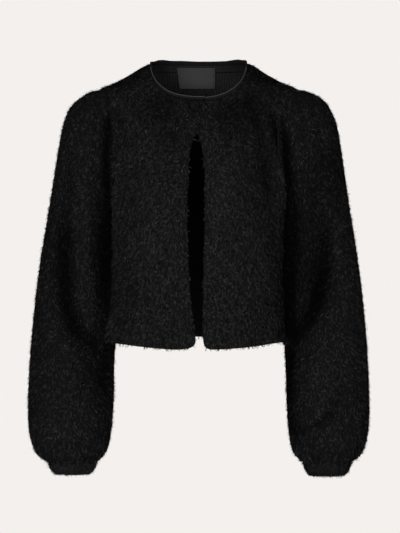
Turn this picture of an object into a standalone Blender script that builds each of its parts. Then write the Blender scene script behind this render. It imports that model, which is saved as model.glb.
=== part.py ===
"""Cropped brushed-knit cardigan with balloon sleeves, filled out as worn and held up at its shoulders.

Metres, +Z up, the front towards -Y. X is 0 at the middle of the body, and Z is 0 halfway down the shoulder
seams, where a wearer's shoulders carry the garment. Each cut piece is a wall between an outer and an inner
grid of points. Body pieces are cut from one torso form, where a place is an angle round it (0 at the left
side seam, negative in front) and a height.
"""

import math

import bmesh
import bpy
import numpy as np
from mathutils.bvhtree import BVHTree

# Cloth
WALL = 0.004  # the knitted ground and its brushed pile together
PILE = 0.0014  # how far the pile stands above a smooth knitted edge
SEAM_GAP = 0.0003
SLEEVE_CLEARANCE = 0.0012  # between a hanging sleeve and the body that it hangs against

# Heights of the cut
NECK_POINT = 0.0213  # where a shoulder seam meets the neckline
SHOULDER_TIP = -0.0235
UNDERARM = -0.215
HEM = -0.450
FRONT_NECK = -0.0450
BACK_NECK = 0.0215

# Widths of the cut
NECK_HALF_WIDTH = 0.0830
NECK_SQUARENESS = 2.25
ARMHOLE_REACH_FRONT = math.radians(27)  # how far round the torso form an armhole is cut
ARMHOLE_REACH_BACK = math.radians(24)

# Grids
ARMHOLE_STEPS = 18  # rows of a body piece beside its half of an armhole
SIDE_STEPS = 9  # rows below the underarm
FRONT_COLUMNS = 9
BACK_COLUMNS = 20
BACK_SHOULDER_COLUMNS = 6  # of those, the ones that run up to each shoulder seam
BACK_SPREAD = 1.6  # the power by which the back's columns part towards its top row
NECKLINE_STEPS = 11  # rows of a front beside its neckline
NECKLINE_SAMPLES = 721  # points of the whole neckline, before a front's share is spaced out
BISECTIONS = 40
SLEEVE_AROUND = 2 * ARMHOLE_STEPS

# Details of the sleeves and cuffs
SLEEVE_HEAD_GAP = 1.5 * SEAM_GAP  # between a sleeve's first ring and the armhole, along the cloth
SLEEVE_HEAD_LIFT = 0.0002  # how far that ring stands out from the body
UNDERARM_LIFT = 0.0009  # and how much further at the underarm
UNDERARM_SPREAD = (0.1, 0.8)  # where that comes in, as the cosine of the angle from the underarm
CLEARANCE_FADE = (0.035, 0.090)  # how far below the hem a sleeve's clearance starts to fade, and has faded
GATHERS = 18  # round the end of a sleeve
GATHER_DEPTH = 0.0030
GATHER_FLATTENING = 0.7  # how much of that the seam with the cuff takes away
CUFF_RIBS = 22
CUFF_POINTS_PER_RIB = 4
CUFF_RIB_DEPTH = 0.0011
CUFF_HEIGHT = 0.019
CUFF_WALL = 0.003
CUFF_PROFILE = ((0.0, 0.0015), (0.60, 0.0040), (1.0, 0.0105))  # share down, how far drawn in

# Neckband, label and button
BAND_HEIGHT = 0.0062
BAND_LEAN = (0.55, 0.85)  # how much the band carries on the cloth's way, and how much it stands straight up
# The band's section: how far up it and towards its face, in parts of its height, over the roll and back down
BAND_ROLL = ((0.45, 0.20), (0.80, 0.24), (1.00, 0.02), (0.80, -0.20), (0.45, -0.20))
LABEL_SIZE = (0.066, 0.035)
LABEL_MIDDLE = (-0.0045, -0.0015)
LABEL_THICKNESS = 0.001
LABEL_STANDOFF = 0.0014
LABEL_ROWS, LABEL_COLUMNS = 3, 8
BUTTON_RADIUS = 0.0085
BUTTON_HEIGHT = 0.0052
BUTTON_PLACE = (-0.0068, -0.0560)
BUTTON_STANDOFF = 0.0010
BUTTON_STEPS = 20
# Radius and height, in parts of the button's, from the middle of its back to the middle of its face
BUTTON_PROFILE = ((0.55, 0.0), (0.93, 0.10), (1.0, 0.38), (0.90, 0.70), (0.62, 0.92), (0.28, 1.0))

# How the top front lies over the other: full where they overlap, fading out to the side and downwards.
LAP_LIFT = WALL + 0.0008
LAP_FADE_ACROSS = (-0.052, -0.024)
LAP_FADE_DOWN = (-0.135, -0.097)

SHARP_ANGLE = math.radians(50)  # edges that turn more than this are shaded sharp


def table(columns, rows):
    """A table as a dict of arrays, one for each named column."""
    return {name: np.array(values, float) for name, values in zip(columns.split(), zip(*rows))}


# The torso form, bottom to top: where its middle is, its reach from there to each side, to the front and to
# the back, and how square it is.
TORSO = table(
    "height middle half_width front back squareness",
    [
        (HEM, -0.0060, 0.1535, 0.125, 0.108, 2.25),
        (-0.425, -0.0050, 0.1500, 0.124, 0.105, 2.25),
        (-0.385, -0.0035, 0.1460, 0.124, 0.103, 2.25),
        (-0.330, -0.0020, 0.1440, 0.127, 0.102, 2.25),
        (-0.270, -0.0010, 0.1455, 0.130, 0.105, 2.25),
        (UNDERARM, 0.0000, 0.1495, 0.128, 0.108, 2.20),
        (-0.165, 0.0000, 0.1580, 0.120, 0.108, 2.15),
        (-0.110, 0.0000, 0.1670, 0.108, 0.103, 2.10),
        (-0.060, 0.0000, 0.1715, 0.094, 0.095, 2.05),
        (SHOULDER_TIP, 0.0000, 0.1680, 0.082, 0.086, 2.00),
        (-0.0170, 0.0000, 0.1540, 0.079, 0.083, 2.00),
        (-0.0035, 0.0000, 0.1270, 0.070, 0.077, 2.00),
        (0.0110, 0.0000, 0.1030, 0.060, 0.070, 2.00),
        (0.0175, 0.0000, 0.0925, 0.056, 0.067, 2.00),
        (NECK_POINT, 0.0000, 0.0835, 0.052, 0.064, 2.00),
        (0.0300, 0.0000, 0.0720, 0.046, 0.058, 2.00),
    ],
)

# The free edges of the two fronts, as the X of each at a height. The right front is the one on top.
FRONT_EDGES = table(
    "height right left",
    [
        (HEM, -0.0015, 0.0080),
        (-0.436, -0.0045, 0.0068),
        (-0.408, -0.0097, 0.0075),
        (-0.373, -0.0124, 0.0078),
        (-0.3315, -0.0158, 0.0078),
        (-0.245, -0.0185, 0.0098),
        (-0.177, -0.0175, 0.0102),
        (-0.144, -0.0158, 0.0096),
        (-0.127, -0.0140, 0.0062),
        (-0.104, -0.0090, 0.0020),
        (-0.0905, 0.0006, -0.0050),
        (-0.0775, 0.0045, -0.0120),
        (-0.0690, 0.0090, -0.0160),
        (-0.0600, 0.0130, -0.0185),
        (-0.0520, 0.0130, -0.0195),
        (FRONT_NECK, 0.0105, -0.0200),
    ],
)
EDGE_ROW_CROWDING = 1.5  # how much closer together a front's rows are towards the top of its free edge

# How far each front hangs below the hem of the form, at shares of its width from the side to the free edge.
HEM_DROP = table(
    "share right left",
    [
        (0.00, 0.0000, 0.0000),
        (0.30, 0.0008, 0.0008),
        (0.60, 0.0050, 0.0050),
        (0.85, 0.0086, 0.0078),
        (0.95, 0.0062, 0.0080),
        (1.00, 0.0020, 0.0078),
    ],
)
HEM_DROP_FADE = 0.090  # how far above the hem the drop is spread

# Soft folds in the body: where each runs, as seen from the front or the back, and how far it sinks (or
# rises). Side is -1 in front and 1 behind.
BODY_FOLDS = table(
    "side x0 z0 x1 z1 depth width",
    [
        (-1, 0.084, -0.085, 0.107, -0.160, 0.0065, 0.017),
        (-1, 0.107, -0.160, 0.124, -0.262, 0.0060, 0.017),
        (-1, 0.134, -0.165, 0.136, -0.230, -0.0040, 0.012),
        (-1, 0.118, -0.350, 0.112, -0.440, 0.0035, 0.015),
        (-1, 0.060, -0.250, 0.066, -0.430, -0.0030, 0.026),
        (-1, -0.128, -0.060, -0.138, -0.100, 0.0040, 0.011),
        (-1, -0.092, -0.080, -0.112, -0.160, 0.0035, 0.015),
        (-1, -0.124, -0.200, -0.120, -0.340, 0.0045, 0.015),
        (-1, -0.100, -0.260, -0.084, -0.440, -0.0035, 0.020),
        (-1, -0.052, -0.330, -0.044, -0.450, 0.0025, 0.016),
        (1, 0.085, -0.100, 0.104, -0.235, 0.0050, 0.015),
        (1, -0.088, -0.110, -0.106, -0.250, 0.0050, 0.015),
        (1, 0.046, -0.270, 0.062, -0.440, 0.0040, 0.020),
        (1, -0.036, -0.300, -0.050, -0.440, 0.0040, 0.020),
        (1, 0.110, -0.320, 0.118, -0.440, 0.0030, 0.016),
        (1, -0.120, -0.340, -0.112, -0.440, 0.0030, 0.016),
    ],
)
FOLD_SIDE_FADE = 0.04  # how far in front of or behind the side seams a fold is at its full depth

# The sections of a left sleeve, armhole to cuff. Each is a ring between its outermost and its innermost
# place, reaching to the front and to the back of the line between them.
SLEEVE = table(
    "out_x out_y out_z in_x in_y in_z front back",
    [
        (0.1705, 0.002, -0.0235, 0.1495, 0.002, -0.2145, 0.066, 0.061),
        (0.1855, 0.003, -0.0240, 0.1508, 0.005, -0.2225, 0.067, 0.062),
        (0.2005, 0.004, -0.0315, 0.1508, 0.009, -0.2315, 0.068, 0.063),
        (0.2150, 0.006, -0.0450, 0.1495, 0.014, -0.2410, 0.068, 0.064),
        (0.2265, 0.009, -0.0625, 0.1475, 0.019, -0.2510, 0.068, 0.064),
        (0.2335, 0.013, -0.0830, 0.1455, 0.025, -0.2620, 0.067, 0.065),
        (0.2385, 0.018, -0.1065, 0.1435, 0.031, -0.2745, 0.066, 0.065),
        (0.2435, 0.023, -0.1340, 0.1415, 0.037, -0.2895, 0.066, 0.065),
        (0.2490, 0.029, -0.1690, 0.1400, 0.042, -0.3090, 0.065, 0.064),
        (0.2560, 0.036, -0.2110, 0.1390, 0.045, -0.3360, 0.065, 0.064),
        (0.2645, 0.042, -0.2600, 0.1385, 0.048, -0.3670, 0.065, 0.064),
        (0.2735, 0.047, -0.3130, 0.1385, 0.051, -0.4020, 0.066, 0.065),
        (0.2805, 0.050, -0.3640, 0.1395, 0.052, -0.4360, 0.067, 0.066),
        (0.2860, 0.051, -0.4140, 0.1415, 0.052, -0.4710, 0.069, 0.067),
        (0.2905, 0.049, -0.4630, 0.1430, 0.050, -0.5060, 0.071, 0.069),
        (0.2935, 0.045, -0.5120, 0.1440, 0.046, -0.5430, 0.073, 0.070),
        (0.2950, 0.040, -0.5600, 0.1460, 0.040, -0.5810, 0.073, 0.070),
        (0.2940, 0.035, -0.6000, 0.1490, 0.035, -0.6130, 0.071, 0.068),
        (0.2880, 0.031, -0.6280, 0.1540, 0.031, -0.6350, 0.065, 0.062),
        (0.2795, 0.028, -0.6455, 0.1600, 0.028, -0.6480, 0.056, 0.053),
        (0.2690, 0.026, -0.6545, 0.1685, 0.026, -0.6555, 0.045, 0.043),
        (0.2605, 0.025, -0.6615, 0.1755, 0.025, -0.6615, 0.036, 0.035),
    ],
)
# A sleeve's rings, as shares of those sections: closer together at its head and at its cuff.
RING_SHARES = np.concatenate(
    [np.linspace(0.00, 0.24, 7), np.linspace(0.24, 0.80, 17)[1:], np.linspace(0.80, 1.00, 7)[1:]]
)
# Where a sleeve's gathers start, are full, start to flatten and end
GATHERS_SHARES = (0.80, 0.94, 0.96, 1.00)
FOLD_FADE = 0.07  # the share of the sections over which each fold comes and goes
HEAD_FADE = 0.05  # the share over which all folds come in below the armhole
ARMHOLE_BLEND = 0.16  # the share over which the armhole's own outline gives way to the sections

# How each arm differs from those sections: how far its outer and its inner side stand further out.
ARM_OFFSETS = table(
    "share right_out left_out right_in left_in",
    [
        (0.00, 0.0000, 0.0000, 0.0000, 0.0000),
        (0.12, -0.0010, 0.0040, 0.0000, 0.0000),
        (0.30, -0.0010, 0.0030, 0.0000, 0.0000),
        (0.55, 0.0000, 0.0020, 0.0000, 0.0060),
        (0.80, 0.0000, 0.0005, 0.0000, 0.0050),
        (0.92, -0.0008, 0.0015, 0.0000, 0.0030),
        (1.00, -0.0020, 0.0025, -0.0020, 0.0025),
    ],
)

# Soft folds in the sleeves, each from one ring share and angle to another, by way of a middle one. Angles
# are in degrees: 0 outermost, -90 in front, 180 against the body. Depth is how far it sinks (or rises).
# Arm is 1 for the left sleeve, -1 for the right one and 0 for both.
SLEEVE_FOLDS = table(
    "arm s0 a0 s1 a1 s2 a2 depth width",
    [
        (-1, 0.30, -35, 0.52, -70, 0.60, -98, 0.0140, 0.0170),
        (-1, 0.57, -92, 0.62, -114, 0.66, -142, 0.0130, 0.0160),
        (-1, 0.22, -90, 0.44, -95, 0.57, -112, -0.0070, 0.0190),
        (-1, 0.70, -150, 0.715, -128, 0.725, -104, 0.0070, 0.0130),
        (-1, 0.74, -60, 0.78, -72, 0.82, -84, -0.0030, 0.0220),
        (1, 0.32, -80, 0.50, -86, 0.58, -101, 0.0140, 0.0160),
        (1, 0.55, -94, 0.61, -124, 0.66, -150, 0.0140, 0.0160),
        (1, 0.24, -114, 0.43, -118, 0.54, -130, -0.0060, 0.0170),
        (1, 0.745, -42, 0.79, -72, 0.82, -112, 0.0060, 0.0120),
        (1, 0.69, -100, 0.73, -104, 0.76, -108, -0.0050, 0.0200),
        (0, 0.02, -54, 0.11, -56, 0.24, -60, 0.0050, 0.0100),
        (0, 0.02, -26, 0.10, -28, 0.20, -32, 0.0040, 0.0090),
        (0, 0.02, 2, 0.10, 4, 0.18, 4, 0.0032, 0.0090),
        (0, 0.02, 30, 0.10, 32, 0.20, 34, 0.0040, 0.0090),
        (0, 0.02, 58, 0.11, 60, 0.24, 64, 0.0045, 0.0100),
        (0, 0.32, 68, 0.50, 84, 0.61, 98, 0.0110, 0.0165),
        (0, 0.58, 92, 0.65, 114, 0.70, 146, 0.0100, 0.0155),
        (0, 0.46, 24, 0.58, 34, 0.67, 56, 0.0075, 0.0160),
        (0, 0.74, 118, 0.77, 92, 0.79, 66, 0.0055, 0.0130),
    ],
)

MATERIALS = {
    "knit": ((0.0105, 0.0100, 0.0100), 0.95),
    "band": ((0.0260, 0.0250, 0.0250), 0.85),
    "button": ((0.0140, 0.0135, 0.0135), 0.80),
    "label": ((0.0380, 0.0375, 0.0375), 0.70),
}


def clear_scene():
    for thing in list(bpy.data.objects):
        bpy.data.objects.remove(thing)


def material(name):
    """The Principled material of that name, made once."""
    if name in bpy.data.materials:
        return bpy.data.materials[name]
    colour, roughness = MATERIALS[name]
    made = bpy.data.materials.new(name)
    made.use_nodes = True
    shader = made.node_tree.nodes["Principled BSDF"]
    shader.inputs["Base Color"].default_value = (*colour, 1.0)
    shader.inputs["Roughness"].default_value = roughness
    shader.inputs["Metallic"].default_value = 0.0
    return made


def smooth_between(at, xs, ys):
    """A curve through the points (xs, ys) that never overshoots them: a monotone cubic."""
    xs, ys = np.asarray(xs, float), np.asarray(ys, float)
    steps = np.diff(xs)
    slopes = np.diff(ys) / steps
    before, after = slopes[:-1], slopes[1:]
    same_way = before * after > 0
    weight = np.where(same_way, before + after, 1.0)
    inside = np.where(same_way, 2 * before * after / weight, 0.0)
    tangents = np.concatenate([[slopes[0]], inside, [slopes[-1]]])
    at = np.clip(at, xs[0], xs[-1])
    i = np.clip(np.searchsorted(xs, at, side="right") - 1, 0, len(steps) - 1)
    t = (at - xs[i]) / steps[i]
    rise = (2 * t**3 - 3 * t**2 + 1) * ys[i] + (3 * t**2 - 2 * t**3) * ys[i + 1]
    lean = (t**3 - 2 * t**2 + t) * tangents[i] + (t**3 - t**2) * tangents[i + 1]
    return rise + lean * steps[i]


def ramp(at, low, high):
    """0 below low, 1 above high, and a smooth step between."""
    t = np.clip((at - low) / (high - low), 0.0, 1.0)
    return t * t * (3 - 2 * t)


def unit(vectors):
    return vectors / np.linalg.norm(vectors, axis=-1, keepdims=True)


# ---- The torso form ----


def torso_radius(angle, height):
    """How far the torso form reaches from its axis at an angle and a height."""
    half_width = smooth_between(height, TORSO["height"], TORSO["half_width"])
    front = smooth_between(height, TORSO["height"], TORSO["front"])
    back = smooth_between(height, TORSO["height"], TORSO["back"])
    power = smooth_between(height, TORSO["height"], TORSO["squareness"])
    depth = np.where(np.sin(angle) < 0, front, back)
    across = np.abs(np.cos(angle) / half_width) ** power
    along = np.abs(np.sin(angle) / depth) ** power
    return (across + along) ** (-1 / power)


def torso_middle(height):
    """The X of the torso form's axis at a height."""
    return smooth_between(height, TORSO["height"], TORSO["middle"])


def torso_form(angle, height):
    """A point of the plain torso form, before folds."""
    radius = torso_radius(angle, height)
    height = height + np.zeros_like(radius)
    x = torso_middle(height) + radius * np.cos(angle)
    return np.stack([x, radius * np.sin(angle), height], axis=-1)


def torso_normal(angle, height):
    """The direction out of the torso form."""
    step = 1e-4
    round_it = torso_form(angle + step, height) - torso_form(angle - step, height)
    up_it = torso_form(angle, height + step) - torso_form(angle, height - step)
    return unit(np.cross(round_it, up_it))


def distance_to_stretch(x, z, x0, z0, x1, z1):
    """How far points are from a straight stretch, all seen from the front."""
    along_x, along_z = x1 - x0, z1 - z0
    share = ((x - x0) * along_x + (z - z0) * along_z) / (along_x**2 + along_z**2)
    share = np.clip(share, 0.0, 1.0)
    return np.hypot(x - x0 - share * along_x, z - z0 - share * along_z)


def body_fold(points):
    """How far the body's folds move points of the torso form out (or in)."""
    moved = np.zeros(points.shape[:-1])
    for side, x0, z0, x1, z1, depth, width in zip(*BODY_FOLDS.values()):
        away = distance_to_stretch(points[..., 0], points[..., 2], x0, z0, x1, z1)
        on_side = ramp(side * points[..., 1], 0.0, FOLD_SIDE_FADE)
        moved -= depth * on_side * np.exp(-((away / width) ** 2))
    return moved


def torso_cloth(angle, height, lift=0.0):
    """The outer and the inner surface of body cloth at an angle and a height."""
    plain = torso_form(angle, height)
    out = torso_normal(angle, height)
    outer = plain + out * (body_fold(plain) + lift)[..., None]
    return outer, outer - WALL * out


def angle_at_x(x, height):
    """The angle at which the front of the torso form has that X."""
    low, high = np.zeros_like(x), np.full_like(x, math.pi)
    for _ in range(BISECTIONS):
        middle = (low + high) / 2
        too_wide = torso_form(-middle, height)[..., 0] > x
        low, high = np.where(too_wide, middle, low), np.where(too_wide, high, middle)
    return -(low + high) / 2


def half_gap(height):
    """Half a seam's gap, as an angle round the torso form."""
    return 0.5 * SEAM_GAP / torso_radius(np.zeros_like(height), height)


# ---- Cutting the body pieces out of the torso form ----


def evenly(places, count):
    """count places spaced evenly along a line of (angle, height) places, measured on the torso form."""
    points = torso_form(places[:, 0], places[:, 1])
    lengths = np.linalg.norm(np.diff(points, axis=0), axis=1)
    along = np.concatenate([[0.0], np.cumsum(lengths)])
    at = np.linspace(0.0, along[-1], count)
    return np.stack([np.interp(at, along, places[:, k]) for k in range(2)], axis=1)


def armhole_places(around, reach):
    """Places of an armhole's outline: around is 0 at the shoulder tip and pi at the underarm."""
    middle = (SHOULDER_TIP + UNDERARM) / 2
    half = (SHOULDER_TIP - UNDERARM) / 2
    return np.stack([reach * np.sin(around), middle + half * np.cos(around)], axis=1)


def outer_boundary(side):
    """A body piece's side seam and armhole, hem to shoulder tip. side is -1 on a front and 1 on the back."""
    reach = side * (ARMHOLE_REACH_FRONT if side < 0 else ARMHOLE_REACH_BACK)
    seam_heights = np.linspace(HEM, UNDERARM, SIDE_STEPS + 1)
    seam = np.stack([np.zeros(SIDE_STEPS + 1), seam_heights], axis=1)
    armhole = armhole_places(np.linspace(math.pi, 0.0, ARMHOLE_STEPS + 1), reach)
    places = np.concatenate([seam, armhole[1:]])
    gap = half_gap(places[:, 1])
    places[:, 0] = side * np.maximum(side * places[:, 0], gap)
    return places


def front_neckline(edge_x):
    """A left front's neckline, from its free edge at edge_x to the neck point."""
    turn = np.linspace(0.0, math.pi, NECKLINE_SAMPLES)
    power = 2 / NECK_SQUARENESS
    x = NECK_HALF_WIDTH * np.sign(np.cos(turn)) * np.abs(np.cos(turn)) ** power
    z = NECK_POINT - (NECK_POINT - FRONT_NECK) * np.abs(np.sin(turn)) ** power
    keep = x > edge_x
    x, z = np.append(x[keep], edge_x), np.append(z[keep], z[keep][-1])
    angles = angle_at_x(x, z)
    places = np.stack([angles, z], axis=1)[::-1]
    places[-1] = (-half_gap(np.array([NECK_POINT]))[0], NECK_POINT)
    return places


def front_boundary(edge, mirrored):
    """A left front's free edge and neckline, hem to neck point, with rows that match its outer boundary.

    A mirrored one is turned into a right front, so that its angles are found on the form's right side.
    """
    low = np.linspace(HEM, UNDERARM, SIDE_STEPS + 1)
    down = np.linspace(1.0, 0.0, ARMHOLE_STEPS - NECKLINE_STEPS + 1) ** EDGE_ROW_CROWDING
    high = FRONT_NECK + (UNDERARM - FRONT_NECK) * down
    heights = np.concatenate([low, high[1:]])
    x = smooth_between(heights, FRONT_EDGES["height"], edge)
    found_at = -x if mirrored else x
    angles = angle_at_x(found_at, heights)
    if mirrored:
        angles = -math.pi - angles
    free_edge = np.stack([angles, heights], axis=1)
    neckline = front_neckline(x[-1])
    neckline[0] = free_edge[-1]
    return np.concatenate([free_edge, evenly(neckline, NECKLINE_STEPS + 1)[1:]])


def lap_lift(points):
    """How far the top front is lifted off the form to lie over the other one."""
    across = ramp(points[..., 0], *LAP_FADE_ACROSS)
    down = ramp(points[..., 2], *LAP_FADE_DOWN)
    return LAP_LIFT * across * down


def front_piece(arm):
    """A front's outer and inner grids. arm is 1 for the left front, and -1 for the right, which laps it."""
    outer_line = outer_boundary(-1)
    edge = FRONT_EDGES["left"] if arm > 0 else -FRONT_EDGES["right"]
    inner_line = front_boundary(edge, arm < 0)
    share = np.linspace(0.0, 1.0, FRONT_COLUMNS + 1)[None, :, None]
    places = (1 - share) * outer_line[:, None] + share * inner_line[:, None]
    angles, heights = places[..., 0], places[..., 1]
    drop = smooth_between(share[..., 0], HEM_DROP["share"], HEM_DROP["left" if arm > 0 else "right"])
    if arm < 0:
        angles = -math.pi - angles
    heights = heights - drop * (1 - ramp(heights, HEM, HEM + HEM_DROP_FADE))
    lift = lap_lift(torso_form(angles, heights)) if arm < 0 else np.zeros_like(angles)
    return torso_cloth(angles, heights, lift)


def back_top():
    """The back's top row: a shoulder seam, the neckline and the other shoulder seam."""
    share = np.linspace(0.0, 1.0, BACK_COLUMNS + 1)
    from_side = np.minimum(share, 1 - share)
    seam_end = BACK_SHOULDER_COLUMNS / BACK_COLUMNS
    up_seam = np.clip(from_side / seam_end, 0.0, 1.0)
    along_neck = np.clip((from_side - seam_end) / (0.5 - seam_end), 0.0, 1.0)
    heights = SHOULDER_TIP + (NECK_POINT - SHOULDER_TIP) * up_seam + (BACK_NECK - NECK_POINT) * along_neck
    angles = np.maximum(along_neck * math.pi / 2, half_gap(heights))
    angles = np.where(share > 0.5, math.pi - angles, angles)
    return np.stack([angles, heights], axis=1)


def back_piece():
    """The back's outer and inner grids. Its top row runs over both shoulder seams and the neckline."""
    left = outer_boundary(1)
    right = np.stack([math.pi - left[:, 0], left[:, 1]], axis=1)
    share = np.linspace(0.0, 1.0, BACK_COLUMNS + 1)[None, :, None]
    places = (1 - share) * left[:, None] + share * right[:, None]
    pull = back_top() - places[-1]
    pull[[0, -1]] = 0.0
    up_armhole = np.clip((np.arange(len(places)) - SIDE_STEPS) / ARMHOLE_STEPS, 0.0, 1.0)
    places = places + up_armhole[:, None, None] ** BACK_SPREAD * pull
    return torso_cloth(places[..., 0], places[..., 1])


# ---- Sleeves ----


def sleeve_section(column, share):
    """A column of the sleeve's sections at a share of them."""
    values = SLEEVE[column]
    return smooth_between(share, np.linspace(0.0, 1.0, len(values)), values)


def sleeve_side(side, share, arm):
    """The outermost ("out") or the innermost ("in") place of a sleeve's section, as on a left sleeve."""
    x, y, z = (sleeve_section(f"{side}_{axis}", share) for axis in "xyz")
    offsets = ARM_OFFSETS[("left_" if arm > 0 else "right_") + side]
    return np.stack([x + smooth_between(share, ARM_OFFSETS["share"], offsets), y, z], axis=-1)


def sleeve_ring(share, around, arm):
    """Points of a sleeve's plain sections, as on a left sleeve."""
    outermost, innermost = sleeve_side("out", share, arm), sleeve_side("in", share, arm)
    front, back = sleeve_section("front", share), sleeve_section("back", share)
    outward = (1 + np.cos(around[..., None])) / 2
    points = innermost + (outermost - innermost) * outward
    points[..., 1] += np.where(np.sin(around) < 0, front, back) * np.sin(around)
    return points


def armhole_outline(around):
    """The left armhole's edge on the body's outer surface, and the direction out of the body there."""
    reach = np.where(np.sin(around) < 0, ARMHOLE_REACH_FRONT, ARMHOLE_REACH_BACK)
    places = armhole_places(around, reach)
    outer, inner = torso_cloth(places[:, 0], places[:, 1])
    return outer, unit(outer - inner)


def sleeve_start(around):
    """A left sleeve's first ring: the armhole's outline moved across the seam by its gap."""
    outline, out = armhole_outline(around)
    middle = outline.mean(axis=0)
    along = unit(np.roll(outline, -1, axis=0) - np.roll(outline, 1, axis=0))
    across = unit(np.cross(along, out))
    across *= np.sign(np.sum(across * (middle - outline), axis=1))[:, None]
    under = ramp(-np.cos(around), *UNDERARM_SPREAD)[:, None]
    return outline + SLEEVE_HEAD_GAP * across + (SLEEVE_HEAD_LIFT + UNDERARM_LIFT * under) * out


def sleeve_fold(share, around, points, arm):
    """How far the folds move points of a sleeve out (or in)."""
    moved = np.zeros(points.shape[:-1])
    middle = points.mean(axis=-2, keepdims=True)
    radius = np.linalg.norm((points - middle)[..., :2], axis=-1)
    for which, s0, a0, s1, a1, s2, a2, depth, width in zip(*SLEEVE_FOLDS.values()):
        if which not in (0, arm):
            continue
        line = np.radians(smooth_between(share, (s0, s1, s2), (a0, a1, a2)))
        turn = np.angle(np.exp(1j * (around - line)))
        begun = ramp(share, s0 - FOLD_FADE, s0 + FOLD_FADE)
        ended = ramp(share, s2 - FOLD_FADE, s2 + FOLD_FADE)
        moved -= depth * begun * (1 - ended) * np.exp(-((turn * radius / width) ** 2))
    return moved


def clear_of_body(points, arm):
    """Pushes points that would touch the body's side straight out from it."""
    height = np.clip(points[..., 2], HEM, NECK_POINT)
    from_middle = points[..., 0] - arm * torso_middle(height)
    angle = np.arctan2(points[..., 1], from_middle)
    reach = np.hypot(points[..., 1], from_middle)
    beside = 1 - ramp(HEM - points[..., 2], *CLEARANCE_FADE)
    needed = torso_radius(angle, height) + SLEEVE_CLEARANCE
    short = np.maximum(needed - reach, 0.0) * beside
    outward = np.stack([np.cos(angle), np.sin(angle), np.zeros_like(angle)], axis=-1)
    return points + short[..., None] * outward


def grid_normals(points):
    """The direction out of each point of a tube's rings, with rings down it and points round it."""
    round_it = np.roll(points, -1, axis=1) - np.roll(points, 1, axis=1)
    down_it = np.gradient(points, axis=0)
    out = unit(np.cross(round_it, down_it))
    middle = points.mean(axis=1, keepdims=True)
    facing = np.sign(np.sum(out[-1] * (points[-1] - middle[-1]), axis=-1).sum())
    return out * facing


def sleeve_piece(arm):
    """A sleeve's outer and inner grids, armhole to cuff."""
    share = RING_SHARES[:, None]
    around = np.linspace(0.0, 2 * math.pi, SLEEVE_AROUND, endpoint=False)[None, :]
    around = np.where(around > math.pi, around - 2 * math.pi, around)
    plain = sleeve_ring(share, around, arm)
    start = sleeve_start(around[0])
    blend = 1 - ramp(share, 0.0, ARMHOLE_BLEND)
    plain = plain + blend[..., None] * (start - plain[0])[None]
    out = grid_normals(plain)
    fade = ramp(share, 0.0, HEAD_FADE)
    start_at, full_at, flatten_at, end_at = GATHERS_SHARES
    gathered = ramp(share, start_at, full_at) * (1 - GATHER_FLATTENING * ramp(share, flatten_at, end_at))
    gathers = GATHER_DEPTH * gathered * np.cos(GATHERS * around)
    moved = sleeve_fold(share, around, plain, arm) * fade + gathers
    outer = plain + out * moved[..., None]
    outer[1:-1] = clear_of_body(outer[1:-1], arm)
    outer[-1, :, 2] = SLEEVE["out_z"][-1]
    out = grid_normals(outer)
    out[-1, :, 2] = 0.0
    out[-1] = unit(out[-1])
    inner = outer - WALL * out
    side = np.array([arm, 1.0, 1.0])
    return outer * side, inner * side


def cuff_piece(arm):
    """A ribbed cuff's outer and inner rings, top to bottom, just below the end of its sleeve."""
    points = CUFF_RIBS * CUFF_POINTS_PER_RIB
    around = np.linspace(0.0, 2 * math.pi, points, endpoint=False) + math.pi / points
    outermost, innermost = sleeve_side("out", 1.0, arm), sleeve_side("in", 1.0, arm)
    middle = (outermost + innermost) / 2
    half_width = (outermost - innermost)[0] / 2
    half_depth = sleeve_section("front", 1.0)
    ribs = CUFF_RIB_DEPTH * np.sign(np.cos(CUFF_RIBS * around))
    outer, inner = [], []
    for down, drawn in CUFF_PROFILE:
        for grid, depth in ((outer, ribs - drawn), (inner, -drawn - CUFF_WALL)):
            x = middle[0] + (half_width + depth) * np.cos(around)
            y = middle[1] + (half_depth + depth) * np.sin(around)
            z = np.full_like(x, middle[2] - SEAM_GAP - CUFF_HEIGHT * down)
            grid.append(np.stack([arm * x, y, z], axis=-1))
    return np.array(outer), np.array(inner)


# ---- Neckband, label and button ----


def neckline_rims(pieces):
    """The outer and inner rims of the body pieces along the whole neckline, right front to left front."""
    rows = SIDE_STEPS + ARMHOLE_STEPS - NECKLINE_STEPS
    first, last = BACK_SHOULDER_COLUMNS, BACK_COLUMNS - BACK_SHOULDER_COLUMNS
    rims = []
    for k in range(2):
        right = pieces["front_right"][k][rows:, -1]
        left = pieces["front_left"][k][rows:, -1]
        back = pieces["back"][k][-1, first : last + 1][::-1]
        rims.append(np.concatenate([right[:-1], back, left[:-1][::-1]]))
    return rims


def neckband_piece(rims):
    """The neckband's sections along the neckline: each a ring of points round a rolled edge."""
    outer, inner = rims
    out = unit(outer - inner)
    along = unit(np.gradient(outer, axis=0))
    onward = unit(np.cross(out, along))
    onward *= np.sign(onward[:, 2].sum())
    along_cloth, straight_up = BAND_LEAN
    upright = unit(along_cloth * onward + np.array([0.0, 0.0, straight_up]))
    face = unit(np.cross(along, upright))
    face *= np.sign(np.sum(face * out, axis=1))[:, None]
    foot_out = outer - PILE * out + SEAM_GAP * onward
    foot_in = inner + SEAM_GAP * onward
    middle = (foot_out + foot_in) / 2
    ring = [foot_out]
    for up, toward in BAND_ROLL:
        ring.append(middle + BAND_HEIGHT * (up * upright + toward * face))
    ring.append(foot_in)
    return np.stack(ring, axis=1)


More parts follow.
